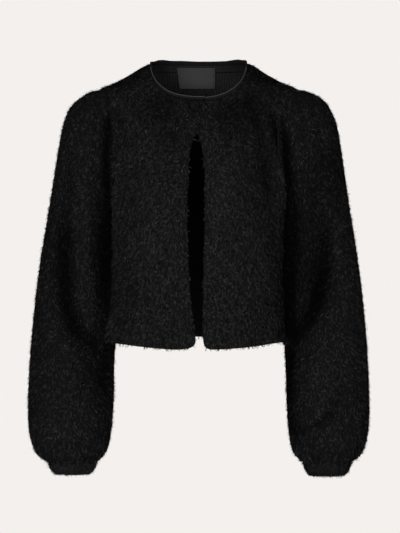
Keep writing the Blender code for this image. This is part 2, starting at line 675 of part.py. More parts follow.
def label_piece(back_inner):
    """The label's outer and inner grids: places on the back's inner surface, moved in."""
    rows, columns = back_inner.shape[:2]
    corners = [tuple(point) for point in back_inner.reshape(-1, 3)]
    faces = []
    for i in range(rows - 1):
        for j in range(columns - 1):
            k = i * columns + j
            faces.append((k, k + 1, k + columns + 1, k + columns))
    surface = BVHTree.FromPolygons(corners, faces)
    width, height = LABEL_SIZE
    face = np.zeros((LABEL_ROWS + 1, LABEL_COLUMNS + 1, 3))
    for i, z in enumerate(LABEL_MIDDLE[1] + np.linspace(-height / 2, height / 2, LABEL_ROWS + 1)):
        for j, x in enumerate(LABEL_MIDDLE[0] + np.linspace(-width / 2, width / 2, LABEL_COLUMNS + 1)):
            face[i, j] = surface.ray_cast((x, 0.0, z), (0.0, 1.0, 0.0))[0]
    inward = np.array([0.0, -1.0, 0.0])
    face = face + LABEL_STANDOFF * inward
    return face, face + LABEL_THICKNESS * inward


def button_piece():
    """The button's turned rings, back to front, on the top front's outer surface."""
    x, z = (np.array([value]) for value in BUTTON_PLACE)
    angle = angle_at_x(x, z)
    lift = lap_lift(torso_form(angle, z))
    outer, inner = torso_cloth(angle, z, lift)
    out = unit(outer - inner)[0]
    across = unit(np.cross([0.0, 0.0, 1.0], out))
    upward = np.cross(out, across)
    base = outer[0] + BUTTON_STANDOFF * out
    turn = np.linspace(0.0, 2 * math.pi, BUTTON_STEPS, endpoint=False)[:, None]
    rings = []
    for radius, height in BUTTON_PROFILE:
        spoke = np.cos(turn) * across + np.sin(turn) * upward
        rings.append(base + BUTTON_RADIUS * radius * spoke + BUTTON_HEIGHT * height * out)
    return np.array(rings)


# ---- Making the solids ----


def add_object(name, builder, material_name):
    """An object whose mesh the builder fills, with its faces turned out."""
    mesh = bpy.data.meshes.new(name)
    shape = bmesh.new()
    builder(shape)
    bmesh.ops.recalc_face_normals(shape, faces=shape.faces)
    if shape.calc_volume(signed=True) < 0:
        bmesh.ops.reverse_faces(shape, faces=shape.faces)
    shape.to_mesh(mesh)
    shape.free()
    mesh.shade_smooth()
    mesh.set_sharp_from_angle(angle=SHARP_ANGLE)
    mesh.materials.append(material(material_name))
    made = bpy.data.objects.new(name, mesh)
    bpy.context.scene.collection.objects.link(made)
    return made


def grid_vertices(shape, grid):
    return [[shape.verts.new(point) for point in row] for row in grid]


def skin(shape, rows, closed):
    """Quads between neighbouring rows of vertices, joined round if the rows are rings."""
    for row, following in zip(rows, rows[1:]):
        count = len(row)
        for j in range(count if closed else count - 1):
            k = (j + 1) % count
            shape.faces.new((row[j], row[k], following[k], following[j]))


def cloth_wall(name, outer, inner, closed, material_name="knit"):
    """A closed wall between two grids: flat pieces get a rim on four sides, tubes on two."""

    def build(shape):
        out_rows, in_rows = grid_vertices(shape, outer), grid_vertices(shape, inner)
        skin(shape, out_rows, closed)
        skin(shape, in_rows, closed)
        skin(shape, [out_rows[0], in_rows[0]], closed)
        skin(shape, [out_rows[-1], in_rows[-1]], closed)
        if not closed:
            for k in (0, -1):
                rim = [[row[k] for row in rows] for rows in (out_rows, in_rows)]
                skin(shape, rim, False)

    return add_object(name, build, material_name)


def capped_rings(name, rings, material_name):
    """A solid through a row of rings, with a face over each end."""

    def build(shape):
        rows = grid_vertices(shape, rings)
        skin(shape, rows, True)
        shape.faces.new(rows[0])
        shape.faces.new(rows[-1])

    return add_object(name, build, material_name)


def main():
    clear_scene()
    pieces = {
        "back": back_piece(),
        "front_right": front_piece(-1),
        "front_left": front_piece(1),
    }
    for name, (outer, inner) in pieces.items():
        cloth_wall(name, outer, inner, closed=False)
    for side, arm in (("right", -1), ("left", 1)):
        cloth_wall(f"sleeve_{side}", *sleeve_piece(arm), closed=True)
        cloth_wall(f"cuff_{side}", *cuff_piece(arm), closed=True)
    capped_rings("neckband", neckband_piece(neckline_rims(pieces)), "band")
    cloth_wall("label", *label_piece(pieces["back"][1]), closed=False, material_name="label")
    capped_rings("button", button_piece(), "button")


main()
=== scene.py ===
"""The looks of a cropped brushed-knit cardigan with balloon sleeves, filled out as worn.

Metres, +Z up, the front towards -Y. Each knitted piece is a thin ground, laid just under the outer side of
its solid, with the brushed pile rooted in it. The pile is combed downwards in small locks. The binding round
the neck with its piping, the ribbed cuffs, the label, the button and the seams are pieces of their own.
"""

import math

import bmesh
import bpy
import numpy as np
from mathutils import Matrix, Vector
from mathutils.bvhtree import BVHTree
from mathutils.kdtree import KDTree


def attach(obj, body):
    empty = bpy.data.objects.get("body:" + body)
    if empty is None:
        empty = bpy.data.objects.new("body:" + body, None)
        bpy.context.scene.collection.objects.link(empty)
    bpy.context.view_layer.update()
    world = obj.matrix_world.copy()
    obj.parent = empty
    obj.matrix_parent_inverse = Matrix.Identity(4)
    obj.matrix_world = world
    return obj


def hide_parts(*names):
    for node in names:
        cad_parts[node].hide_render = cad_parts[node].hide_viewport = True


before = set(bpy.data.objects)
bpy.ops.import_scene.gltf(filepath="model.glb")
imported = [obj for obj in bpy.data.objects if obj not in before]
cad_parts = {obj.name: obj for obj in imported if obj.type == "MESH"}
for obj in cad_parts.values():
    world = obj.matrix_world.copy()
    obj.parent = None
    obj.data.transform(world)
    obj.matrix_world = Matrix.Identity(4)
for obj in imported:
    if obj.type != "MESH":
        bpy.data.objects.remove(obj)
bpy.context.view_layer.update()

# The photograph's view of the garment
CAMERA_AT = (0.0025, -4.0, -0.197)
CAMERA_AIM = (0.0025, 0.0, -0.324)
CAMERA_LENS = 158.9
SENSOR_WIDTH = 36.0
BACKDROP = (0.905, 0.871, 0.847)
FLOOR_SIZE = 2.4
FLOOR_HEIGHT = -1.25
LAMP_SIZE = 1.2
LAMPS = {"key": ((-1.25, -3.5, -0.05), 190), "fill": ((1.35, -3.5, -0.25), 100)}  # places and powers

# Ground: the knitted cloth under the pile
WELD = 1e-5
RIM_ANGLE = math.radians(65)  # a wall's faces meet its rim at more than this
QUAD_FLATNESS = math.radians(60)  # triangles that meet at less than this are joined to quads
QUAD_SHAPE = math.radians(70)
GROUND_LEVELS = 2
GROUND_SINK = 0.0014  # how far the ground lies under the solid's outer side
GROUND_THICKNESS = 0.0018
HEM_SINK = 0.0003  # how far the ground stops short of a free edge, which the pile overhangs
HEM_HEIGHT = -0.440  # below this, a boundary is the hem
GAP_HALF_WIDTH = 0.030  # within this of the middle, a front's boundary is its free edge
NECKLINE_FOOT = -0.0456  # above this, a front's boundary by the middle is its neckline
NEIGHBOUR_REACH = (0.003, 0.012)  # the ground sinks little within the first of these of the next piece

# Seams: where two pieces' edges run this close together, a ridge of turned-in cloth joins them inside
SEAM_REACH = 0.0030
SEAM_DEPTH = 0.0034
SEAM_RADIUS = 0.0024
SEAM_INSET = 0.0004  # how far outside an armhole's edge its ridge runs
SEAM_STEP = 0.0030
SEAM_SMOOTHING = 3
LINE_STEP = 0.0015

# Pile: locks of fibres rooted in the ground. A pair of numbers is a range, and angles are in degrees.
LOCK_FIBRES = 4
LOCK_SPREAD = 0.0005
LOCK_LENGTHS = (0.60, 1.40)  # of the piece's fibre length
LOCK_LIFTS = (10, 30)  # how far a lock stands up from the cloth
LOCK_STRAY = 28  # how far it strays from the way that the pile is combed
LOCK_CURL = 20  # and how far it turns along its length
LOCK_TONE = 0.34  # how much of a fibre's tone it shares with its lock
FIBRE_LENGTH = 0.0072
FIBRE_LENGTHS = (0.75, 1.15)  # of its lock's length
FIBRE_WIDTH = 0.00062
FIBRE_WIDTHS = (0.7, 1.3)  # of that width
FIBRE_TAPER = 0.8  # how wide its middle is, of its foot
FIBRE_LIFT = 5  # how much it differs from its lock in how far it stands up
FIBRE_STRAY = 8  # in its way
FIBRE_CURL = 12  # and in its turn
FIBRE_DROOPS = (14, 34)  # how far its outer half bends down again
FIBRE_ROLL = 25  # how far its blade is turned out of the cloth's plane
ROOT_DEPTH = 0.0004
TIP_DRAWN = 0.62  # how far a fibre's tip is drawn to the middle of its lock
MIDDLE_DRAWN = 0.35  # and how far its middle is, of that
LOOSE_SHARE = 0.16
LOOSE_HAIR = {"spread": 2.5, "length": 1.2, "stray": 3.0, "width": 0.55}  # of what a fibre of a lock has
LOOSE_LIFT = 0.35  # how much further, in radians, a loose hair stands up
CLOTH_SHADING = 0.50  # how much of a fibre's shading follows the cloth that it grows on
TONE_POWER = 2.0  # how much darker than the middle of its range most of the pile is
COMB_OUTWARD = 0.6  # how far outwards the pile is combed, by how far it is from the garment's middle
SWIRLS = ((0.075, 20.0), (0.030, 16.0), (0.010, 20.0))  # sizes, and how far the combing strays over them
EDGE_SHORTNESS = 0.25  # how much shorter the pile is at a free edge
HEM_SHORTENING = 0.014  # how far above the hem the pile starts to be shorter
EDGE_SHORTENING = 0.012  # and how far from a front's free edge
CUFF_COVER = 1.8  # just above its cuff, a sleeve's pile is longer by this many times EDGE_SHORTNESS
CUFF_COVER_HEIGHT = 0.014  # and this far above the cuff it no longer is

# Soft noise: the number of waves that it adds up, ranges of their pace and start, and its usual peak
NOISE_WAVES = 7
NOISE_PACES = (0.6, 1.3)
NOISE_STARTS = (0, 7)
NOISE_PEAK = 1.5

# What each knitted piece is: its pile's locks, and the size that it was cut to
PANELS = {
    "back": {"locks": 10800, "flat": (0.450, 0.500), "area": 0.190},
    "front_right": {"locks": 8800, "flat": (0.250, 0.480), "area": 0.095},
    "front_left": {"locks": 8800, "flat": (0.230, 0.480), "area": 0.090},
    "sleeve_right": {"locks": 13600, "flat": (0.480, 0.660), "area": 0.260},
    "sleeve_left": {"locks": 13600, "flat": (0.480, 0.660), "area": 0.260},
}

# The main creases, in millimetres, which sink the cloth and also set the painted shade of its pile. Each is
# its side (-1 in front, 1 behind, 0 all round) and its places:
# X, Z, how far the cloth sinks there (or rises) and how wide that is.
MILLIMETRE = 0.001
SHOULDER_RIGHT = (0, ((-94, 13, 2.6, 13), (-116, 2, 3.4, 13), (-146, -13, 1.4, 10)))
SHOULDER_LEFT = (0, ((94, 13, 0.2, 10), (108, 6, 2.4, 11), (126, -4, 2.0, 13), (145, -13, 1.2, 10)))
CREASES = {
    "sleeve_right": (
        (-1, ((-151, -50, 3, 7), (-152, -80, 10, 8), (-154, -120, 12, 9), (-154, -190, 11, 9),
              (-155, -255, 12, 10), (-157, -318, 12, 12), (-158, -372, 9, 12), (-160, -430, 4, 12))),
        (-1, ((-230, -215, 2, 12), (-230, -262, 7, 15), (-228, -330, 9, 17), (-224, -385, 10, 17),
              (-210, -428, 10, 16), (-182, -454, 6, 15))),
        (-1, ((-168, -478, 3, 16), (-164, -512, 5, 16), (-158, -560, 4, 12))),
        (-1, ((-170, -36, 2, 5), (-176, -80, 3, 6), (-178, -130, 1, 6))),
        (-1, ((-190, -34, 2, 5), (-200, -75, 2.5, 6), (-203, -112, 1, 6))),
        (1, ((-154, -60, 4, 8), (-157, -150, 10, 10), (-160, -280, 10, 12), (-160, -400, 6, 13))),
        (1, ((-238, -240, 2, 11), (-232, -330, 8, 13), (-215, -390, 10, 13), (-178, -440, 5, 12))),
        (1, ((-180, -40, 3, 6), (-186, -120, 1, 7))),
        (0, ((-182, -22, -3.2, 12), (-204, -30, -3.0, 12), (-220, -52, -2.0, 12))),
    ),
    "sleeve_left": (
        (-1, ((138, -60, 3, 8), (139, -84, 7, 8), (146, -120, 12, 9), (151, -165, 12, 10),
              (154, -230, 9, 16), (154, -300, 9, 19), (153, -372, 8, 17), (154, -430, 8, 14))),
        (-1, ((206, -215, 3, 12), (214, -270, 8, 15), (215, -330, 10, 16), (206, -375, 11, 16),
              (188, -412, 11, 16), (166, -446, 9, 14), (156, -492, 6, 11))),
        (-1, ((244, -535, 4, 8), (222, -575, 7, 8), (196, -592, 6, 8), (166, -604, 3, 8))),
        (-1, ((156, -480, 9, 10), (156, -560, 9, 10), (160, -615, 5, 10))),
        (-1, ((168, -28, 2, 5), (172, -70, 4, 6), (173, -112, 1, 6))),
        (-1, ((192, -38, 2, 5), (202, -80, 2.5, 6), (205, -112, 1, 6))),
        (1, ((154, -60, 4, 8), (157, -150, 10, 10), (160, -270, 10, 13), (158, -390, 6, 14))),
        (1, ((240, -230, 2, 11), (234, -320, 8, 13), (214, -385, 10, 14), (180, -436, 5, 12))),
        (1, ((178, -40, 3, 6), (184, -118, 1, 7))),
        (0, ((170, -20, -3.6, 13), (190, -26, -4.0, 13), (212, -44, -2.4, 12))),
    ),
    "front_left": (
        (-1, ((116, -50, 4, 9), (125, -76, 8, 9), (131, -100, 10, 9), (139, -126, 9, 7),
              (144, -150, 3, 6))),
        (-1, ((88, -30, 4, 14), (98, -90, 6, 14), (112, -160, 6, 13), (121, -200, 4, 13),
              (124, -270, 2, 13))),
        (-1, ((40, -62, 3, 24), (70, -48, 4, 20))),
        SHOULDER_LEFT,
    ),
    "front_right": (
        (-1, ((-137, -62, 4, 9), (-143, -95, 4, 10), (-146, -130, 2, 9))),
        (-1, ((-72, -52, 4, 20), (-50, -110, 4, 20), (-58, -160, 2, 18))),
        SHOULDER_RIGHT,
    ),
    "back": (
        (1, ((-118, -90, 2, 10), (-130, -200, 5, 12), (-124, -300, 2, 12))),
        (1, ((120, -90, 2, 10), (129, -210, 5, 12), (122, -310, 2, 12))),
        (1, ((-40, -250, 1, 14), (-52, -350, 4, 16), (-60, -446, 4, 16))),
        (1, ((38, -230, 1, 14), (54, -340, 4, 16), (64, -446, 4, 16))),
        SHOULDER_LEFT,
        SHOULDER_RIGHT,
    ),
}

# Painted shade and painted light on the pile, in millimetres: on which side, its middle as X and Z, how far
# it spreads along each, and the share of the light that is painted off (or, below 0, painted on) there.
PAINTED_LIGHT_AND_SHADE = {
    "front_right": (
        (-1, -62, -52, 52, 34, 0.34), (-1, -22, -100, 34, 46, 0.14), (-1, -118, -120, 22, 60, 0.08),
        (-1, -92, -285, 26, 60, -0.16), (-1, -50, -420, 60, 26, 0.08), (-1, -143, -240, 8, 100, -0.80),
        (-1, -150, -430, 14, 34, -0.50),
    ),
    "front_left": (
        (-1, 52, -72, 30, 36, 0.40), (-1, 100, -46, 26, 54, 0.26), (-1, 114, -165, 18, 50, 0.20),
        (-1, 30, -220, 16, 62, -0.22), (-1, 88, -340, 34, 70, -0.08), (-1, 141, -190, 6, 40, -0.60),
    ),
    "sleeve_right": (
        (-1, -203, -200, 12, 120, -0.12), (-1, -172, -260, 12, 150, 0.40), (-1, -238, -310, 24, 90, 0.30),
        (-1, -180, -456, 32, 34, 0.30), (-1, -180, -508, 26, 44, 0.26), (-1, -228, -570, 30, 50, -0.06),
    ),
    "sleeve_left": (
        (-1, 176, -280, 20, 120, 0.36), (-1, 222, -170, 30, 60, 0.30), (-1, 194, -345, 20, 50, 0.44),
        (-1, 202, -530, 18, 60, -0.22), (-1, 260, -400, 18, 90, -0.10),
    ),
    "back": ((1, -60, -60, 60, 36, 0.22), (1, 58, -66, 60, 36, 0.22), (1, 0, -300, 60, 60, -0.10)),
}
CREASE_UNEVENNESS = 0.22
CREASE_UNEVENNESS_SIZE = 0.045
CREASE_FULL = 0.011  # where the cloth sinks this far, its pile is painted with the darkest crease shade
CREASE_SHADE = 0.76  # and this is the share of the light that the painted shade takes off
SINK_FACING = (0.05, 0.50)  # a crease only sinks cloth that faces this much to its side
SHADE_FACING = (-0.70, -0.15)  # and its pile is painted with crease shade further round than that
SEAM_REACH_OF_CREASES = (0.001, 0.011)  # from nothing at an armhole seam to the full depth

# From the underarm to the hem, a sleeve's inner side is pressed against the body
HUG_HEIGHTS = (-0.470, -0.450, -0.180, -0.150)  # begins, is full, ends and is over
HUG_REACH = (0.010, 0.018)
HUG_GAP = 0.0002

# Sleeve ends, gathered into the cuffs
GATHER_HEIGHTS = (-0.655, -0.600)  # full at the first, gone at the second
GATHER_DEPTH = 0.0042
GATHER_WIDTH = 0.0042
GATHER_RISE = 0.45  # how far the cloth swells between the pleats, of their depth
GATHER_END = 0.0080  # the pleats flatten out over this height above the cuff
SLEEVE_END = 0.002  # what lies less than this above the cuff is the sleeve's end
PLEATS = (  # their places round the cuff, in degrees
    4, 19, 31, 46, 63, 75, 92, 104, 121, 133, 150, 166,
    177, 193, 208, 219, 236, 252, 263, 280, 292, 309, 326, 341,
)
PLEAT_DEPTHS = (0.75, 1.15, 0.9)  # by turns, of the full depth

# Cuffs
CUFF_TOP = -0.6618
CUFF_HEIGHTS = {"cuff_right": 0.0182, "cuff_left": 0.0208}
CUFF_RIBS = 44
CUFF_RIB_POINTS = 6
CUFF_RIB_DEPTH = 0.0011
CUFF_RIB_SHAPE = (0.7, 0.6)  # the power that rounds a rib, and how far in its foot lies, of its depth
CUFF_INNER_RIBS = 0.35  # how deep the ribs are inside, of those outside
CUFF_ROWS = 12
CUFF_WALL = 0.0030
CUFF_RIM = ((1.0, 0.0012), (0.99, CUFF_WALL))  # shares of the height, and how much further in each lies
CUFF_LOCKS = 1250
CUFF_PILE = 0.0055
CUFF_LIGHTS = {"cuff_right": 0.94, "cuff_left": 0.60}  # painted shade: the shares of the light that their pile is painted to keep
CUFF_PROFILE = ((0.0, 0.0010), (0.30, 0.0026), (0.60, 0.0052), (0.85, 0.0090), (1.0, 0.0125))
CUFF_TUCK = 0.18  # how far its top runs up into the sleeve, as a share of its height
CUFF_TUCK_DRAW = 0.0020  # and how much further in that lies

# Neckband, rolled over the neckline, and the piping on its outer face
BAND_WALL = 0.0040
BAND_SINK = 0.0014
BAND_HEIGHT = 0.0062
BAND_LEAN = (0.55, 0.85)
BAND_ROLL = ((0.45, 0.20), (0.80, 0.24), (1.00, 0.02), (0.80, -0.20), (0.45, -0.20))
BAND_CORNER_CUT = 0.25  # the share of each side of its section that rounding cuts off
BAND_BACK = (  # at each X at the back, how high it stands, of its height in front
    (-0.086, 0.80), (-0.079, 1.00), (-0.072, 1.60), (-0.064, 1.70), (-0.050, 1.48), (-0.030, 1.48),
    (0.0, 1.25), (0.030, 1.28), (0.050, 1.40), (0.064, 1.72), (0.072, 1.80), (0.079, 1.45), (0.086, 1.25),
)
BAND_BACK_HEIGHTS = (0.010, 0.020)  # the front ends at the first of these heights, and the back begins
BAND_STEP = 0.0005
NECKLINE_SMOOTHING = 7  # the number of those steps that its corners are rounded over
BAND_RIB = 0.0026
BAND_RIB_DEPTH = 0.00022
PIPING_PLACE = (0.80, 0.27)
PIPING_RADIUS = 0.00065
PIPING_END = 0.0130  # the piping shows in front, up to this height
PIPING_LEAST = 20  # the fewest of the band's points that a stretch of piping has
NECK_SEAM_HEIGHT = 0.0085
NECK_SEAM_HALF_WIDTH = 0.078
NECK_SEAM_POINTS = 80
NECK_SEAM_RADIUS = 0.0007
NECK_SEAM_LIFT = 0.0002

# The inside's knit: its wales and courses as direction, scale and distortion, and what is mixed with them
WALES = ("X", 70.0, 5.0)
COURSES = ("Z", 92.0, 6.0)
COURSES_SHARE = 0.35
MOTTLE_SHARE = 0.35
KNIT_HEIGHTS = (NECK_SEAM_HEIGHT, NECK_SEAM_HEIGHT + 0.001)  # the stitches show below the first
INSIDE_LIGHT_HEIGHTS = (-0.110, -0.030)  # the inside is painted lighter by the neck, above the second of these (painted light and shade)
INSIDE_LIGHT = 0.22  # and keeps this share of that light below the first, as painted shade

# Label
LABEL_SLANT = 0.0050  # how far its lower corner on the wearer's right is drawn in
LABEL_BEVEL = 0.0003
LABEL_ROWS = ("Z", 520.0, 0.6)
LABEL_ROWS_SHARE = 0.30
LABEL_SHADE_HEIGHTS = (0.016, -0.019)  # painted shade and light: its satin is painted darkest at the first of these heights, lightest at the second
STITCH_INSET = 0.0022  # from the label's ends
STITCH_MARGIN = 0.002  # from its upper and lower edges
STITCH_STEP = 0.0028
STITCH_LENGTH = 0.0018
STITCH_HEIGHT = 0.0002
STITCH_LIFT = 0.0001
STITCH_RADIUS = 0.0003
STITCH_REACH = (0.006, 0.007)  # how far off the label's front is looked for: across, and all round

# Button
BUTTON_BARE = 0.95  # the front has no pile within this share of the button's radius
BUTTON_LOCKS = 150
BUTTON_PILE = 0.0055
# painted shade: the share of the light that the button's fuzz is painted to keep, like the pile round it
BUTTON_LIGHT = 0.42
BUTTON_RADIUS = 0.0085
BUTTON_HEIGHT = 0.0052
BUTTON_STEPS = 48
BUTTON_PROFILE = (
    (0.55, 0.0), (0.80, 0.02), (0.93, 0.10), (0.99, 0.24), (1.0, 0.38), (0.97, 0.55), (0.90, 0.70),
    (0.78, 0.83), (0.62, 0.92), (0.45, 0.975), (0.28, 1.0), (0.0, 1.01),
)
TINT = (0.985, 0.995, 1.02)  # what makes the dark tones neutral in warm surroundings


# ---- Shapes ----


def wall_sides(shape):
    """The sides of a wall, as groups of faces that meet at less than a rim's angle, the largest first."""
    left = dict.fromkeys(shape.faces)
    sides = []
    while left:
        side, reached = set(), [left.popitem()[0]]
        while reached:
            face = reached.pop()
            side.add(face)
            for edge in face.edges:
                if edge.calc_face_angle(math.pi) > RIM_ANGLE:
                    continue
                for other in edge.link_faces:
                    if other in left:
                        del left[other]
                        reached.append(other)
        sides.append(side)
    return sorted(sides, key=lambda side: sum(face.calc_area() for face in side), reverse=True)


def merged(node):
    """A copy of a node's mesh with its doubles merged."""
    shape = bmesh.new()
    shape.from_mesh(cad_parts[node].data)
    bmesh.ops.remove_doubles(shape, verts=shape.verts, dist=WELD)
    return shape


def outer_side(node):
    """The outer side of a node's wall, as a bmesh of quads."""
    shape = merged(node)
    outer = wall_sides(shape)[0]
    inner = [face for face in shape.faces if face not in outer]
    bmesh.ops.delete(shape, geom=inner, context="FACES")
    bmesh.ops.join_triangles(
        shape,
        faces=shape.faces,
        angle_face_threshold=QUAD_FLATNESS,
        angle_shape_threshold=QUAD_SHAPE,
    )
    shape.normal_update()
    return shape


def new_object(name, data):
    made = bpy.data.objects.new(name, data)
    bpy.context.scene.collection.objects.link(made)
    return made


def add_mesh(name, mesh, *materials):
    """A new object with that mesh, smooth all over."""
    mesh.shade_smooth()
    for material in materials:
        mesh.materials.append(material)
    return new_object(name, mesh)


def add_piece(name, shape, *materials):
    """A new object with that shape, which is used up."""
    mesh = bpy.data.meshes.new(name)
    shape.to_mesh(mesh)
    shape.free()
    return add_mesh(name, mesh, *materials)


def apply_modifiers(piece):
    """Turns what a piece's modifiers make into its mesh."""
    shown = piece.evaluated_get(bpy.context.evaluated_depsgraph_get())
    made = bpy.data.meshes.new_from_object(shown)
    piece.modifiers.clear()
    piece.data = made


def subdivide(piece, levels):
    smoother = piece.modifiers.new("smooth", "SUBSURF")
    smoother.levels = smoother.render_levels = levels


def unit(vectors):
    return vectors / np.maximum(np.linalg.norm(vectors, axis=-1, keepdims=True), 1e-12)


def ramp(at, low, high):
    """0 below low, 1 above high, and a smooth step between."""
    t = np.clip((at - low) / (high - low), 0.0, 1.0)
    return t * t * (3 - 2 * t)


def vectors_of(mesh, kind):
    """One of the vectors that each of a mesh's points has."""
    vectors = np.empty(len(mesh.vertices) * 3, np.float32)
    mesh.vertices.foreach_get(kind, vectors)
    return vectors.reshape(-1, 3).astype(float)


def points_of(mesh):
    return vectors_of(mesh, "co")


def normals_of(mesh):
    return vectors_of(mesh, "normal")


def set_points(mesh, places):
    mesh.vertices.foreach_set("co", places.astype(np.float32).ravel())
    mesh.update()


def grid_piece(name, rows, material, closed_across=False):
    """A piece with quads between rings of points, the rings open or joined in a ring themselves."""
    shape = bmesh.new()
    made = [[shape.verts.new(point) for point in row] for row in rows]
    following = made[1:] + made[:1] if closed_across else made[1:]
    for row, onward in zip(made, following):
        for j in range(len(row)):
            k = (j + 1) % len(row)
            shape.faces.new((row[j], row[k], onward[k], onward[j]))
    if not closed_across:
        shape.faces.new(made[0])
        shape.faces.new(made[-1])
    bmesh.ops.recalc_face_normals(shape, faces=shape.faces)
    return add_piece(name, shape, material)


# ---- Lines along the edges of the pieces ----


def boundary_rings(shape):
    """The open edges of a shape, as rings of vertices in order, the longest first."""
    left = dict.fromkeys(edge for edge in shape.edges if edge.is_boundary)
    rings = []
    while left:
        edge = left.popitem()[0]
        ring = [edge.verts[0], edge.verts[1]]
        onward = [edge]
        while onward:
            onward = [e for e in ring[-1].link_edges if e in left]
            if onward:
                del left[onward[0]]
                ring.append(onward[0].other_vert(ring[-1]))
        rings.append(ring[:-1])
    return sorted(rings, key=len, reverse=True)


def edge_rings(node):
    """The edges of a node's outer side, each as places and the directions out of the cloth there."""
    shape = outer_side(node)
    rings = []
    for ring in boundary_rings(shape):
        places = np.array([vert.co for vert in ring])
        outs = np.array([vert.normal for vert in ring])
        rings.append((places, outs))
    shape.free()
    return rings


def filled_in(places, closed=True):
    """A line with more points, one every step or so."""
    ends = np.roll(places, -1, axis=0) if closed else places[1:]
    parts = []
    for start, end in zip(places, ends):
        count = max(1, round(np.linalg.norm(end - start) / LINE_STEP))
        share = np.arange(count)[:, None] / count
        parts.append(start + (end - start) * share)
    return np.concatenate(parts)


def distance_to(line, places):
    """How far each place is from a line of points."""
    tree = KDTree(len(line))
    for k, point in enumerate(line):
        tree.insert(point, k)
    tree.balance()
    return np.array([tree.find(place)[2] for place in places])


def beside(places, nodes):
    """Whether each place lies by an edge of one of those nodes."""
    lines = [filled_in(ring) for node in nodes for ring, _ in edge_rings(node)]
    return distance_to(np.concatenate(lines), places) < SEAM_REACH


def runs(marks):
    """The stretches of a ring's marked places, as lists of indices in order."""
    count = len(marks)
    if marks.all():
        return [list(range(count))]
    first = int(np.argmin(marks))
    found, run = [], []
    for k in range(first, first + count + 1):
        if marks[k % count]:
            run.append(k % count)
        elif run:
            found.append(run)
            run = []
    return found


def even_line(places, step, smoothing):
    """A line, and what goes with each of its points, evenly spaced and with its corners smoothed."""
    lengths = np.linalg.norm(np.diff(places[:, :3], axis=0), axis=1)
    along = np.concatenate([[0.0], np.cumsum(lengths)])
    at = np.linspace(0.0, along[-1], max(2, round(along[-1] / step)) + 1)
    line = np.stack([np.interp(at, along, places[:, k]) for k in range(places.shape[1])], axis=1)
    if smoothing > 1:
        kernel = np.ones(smoothing) / smoothing
        for _ in range(2):
            held = np.pad(line, ((smoothing // 2, smoothing // 2), (0, 0)), mode="edge")
            smoothed = [np.convolve(held[:, k], kernel, "valid") for k in range(line.shape[1])]
            line = np.stack(smoothed, axis=1)[: len(at)]
    return line


def cords_piece(name, lines, radius, material):
    """Round cords along lines of points, as one mesh."""
    curve = bpy.data.curves.new(name, "CURVE")
    curve.dimensions = "3D"
    curve.bevel_depth = radius
    curve.bevel_resolution = 2
    curve.use_fill_caps = True
    for line in lines:
        spline = curve.splines.new("POLY")
        spline.points.add(len(line) - 1)
        spline.points.foreach_set("co", np.concatenate([line, np.ones((len(line), 1))], axis=1).ravel())
    held = new_object(name, curve)
    shown = held.evaluated_get(bpy.context.evaluated_depsgraph_get())
    mesh = bpy.data.meshes.new_from_object(shown)
    bpy.data.objects.remove(held)
    bpy.data.curves.remove(curve)
    return add_mesh(name, mesh, material)


# ---- Ground ----


def crease_depths(node, places, outs, facing):
    """For each of a panel's creases, its side and how far it sinks the cloth at those places."""
    for side, line in CREASES[node]:
        line = np.array(line) * MILLIMETRE
        closest = np.full(len(places), np.inf)
        depth = np.zeros(len(places))
        for start, end in zip(line, line[1:]):
            way = (end - start)[:2]
            share = np.clip((places[:, ::2] - start[:2]) @ way / (way @ way), 0, 1)
            here = start + (end - start) * share[:, None]
            away = np.linalg.norm(places[:, ::2] - here[:, :2], axis=1) / here[:, 3]
            depth = np.where(away < closest, here[:, 2], depth)
            closest = np.minimum(away, closest)
        depth = depth * np.exp(-(closest**2))
        if side:
            depth = depth * ramp(side * outs[:, 1], *facing)
        yield side, depth


def crease(node, mesh):
    """Sinks a panel's cloth along its creases, a little unevenly, and not at an armhole seam."""
    places, outs = points_of(mesh), normals_of(mesh)
    moved = np.zeros_like(places)
    for side, depth in crease_depths(node, places, outs, SINK_FACING):
        way = np.array([0.0, -side, 0.0]) if side else -outs
        moved += way * depth[:, None]
    random = np.random.default_rng(len(places))
    uneven = 1 + CREASE_UNEVENNESS * soft_noise(places, CREASE_UNEVENNESS_SIZE, random)
    if node.startswith("sleeve"):
        uneven *= ramp(distance_to(armhole_line(node), places), *SEAM_REACH_OF_CREASES)
    set_points(mesh, places + moved * uneven[:, None])


def armhole_line(node):
    """A sleeve's edge at the armhole, as a line of points."""
    ring, _ = max(edge_rings(node), key=lambda ring: ring[0][:, 2].mean())
    return filled_in(ring)


def hug_body(node, mesh):
    """Presses a sleeve's inner side against the body, from the underarm to the hem."""
    places, outs = points_of(mesh), normals_of(mesh)
    low, full, ending, high = HUG_HEIGHTS
    height = ramp(places[:, 2], low, full) * (1 - ramp(places[:, 2], ending, high))
    near = np.flatnonzero((height > 0) & (outs[:, 0] * places[:, 0] < 0))
    trees = body_trees(("back", "front_right", "front_left"))
    for k in near:
        found = min((tree.find_nearest(places[k]) for tree in trees), key=lambda hit: hit[3])
        away = found[3]
        if HUG_GAP < away < HUG_REACH[1]:
            way = (np.array(found[0]) - places[k]) / away
            pressed = height[k] * (1 - float(ramp(away, *HUG_REACH)))
            places[k] += (away - HUG_GAP) * pressed * way
    set_points(mesh, places)


def body_trees(nodes):
    """The surfaces of those nodes, to measure distances from."""
    trees = []
    for node in nodes:
        shape = merged(node)
        trees.append(BVHTree.FromBMesh(shape))
        shape.free()
    return trees


def at_free_edge(place):
    """Whether a boundary point of a panel lies on the hem or on a front's free edge."""
    by_gap = abs(place.x) < GAP_HALF_WIDTH and place.y < 0 and place.z < NECKLINE_FOOT
    return place.z < HEM_HEIGHT or by_gap


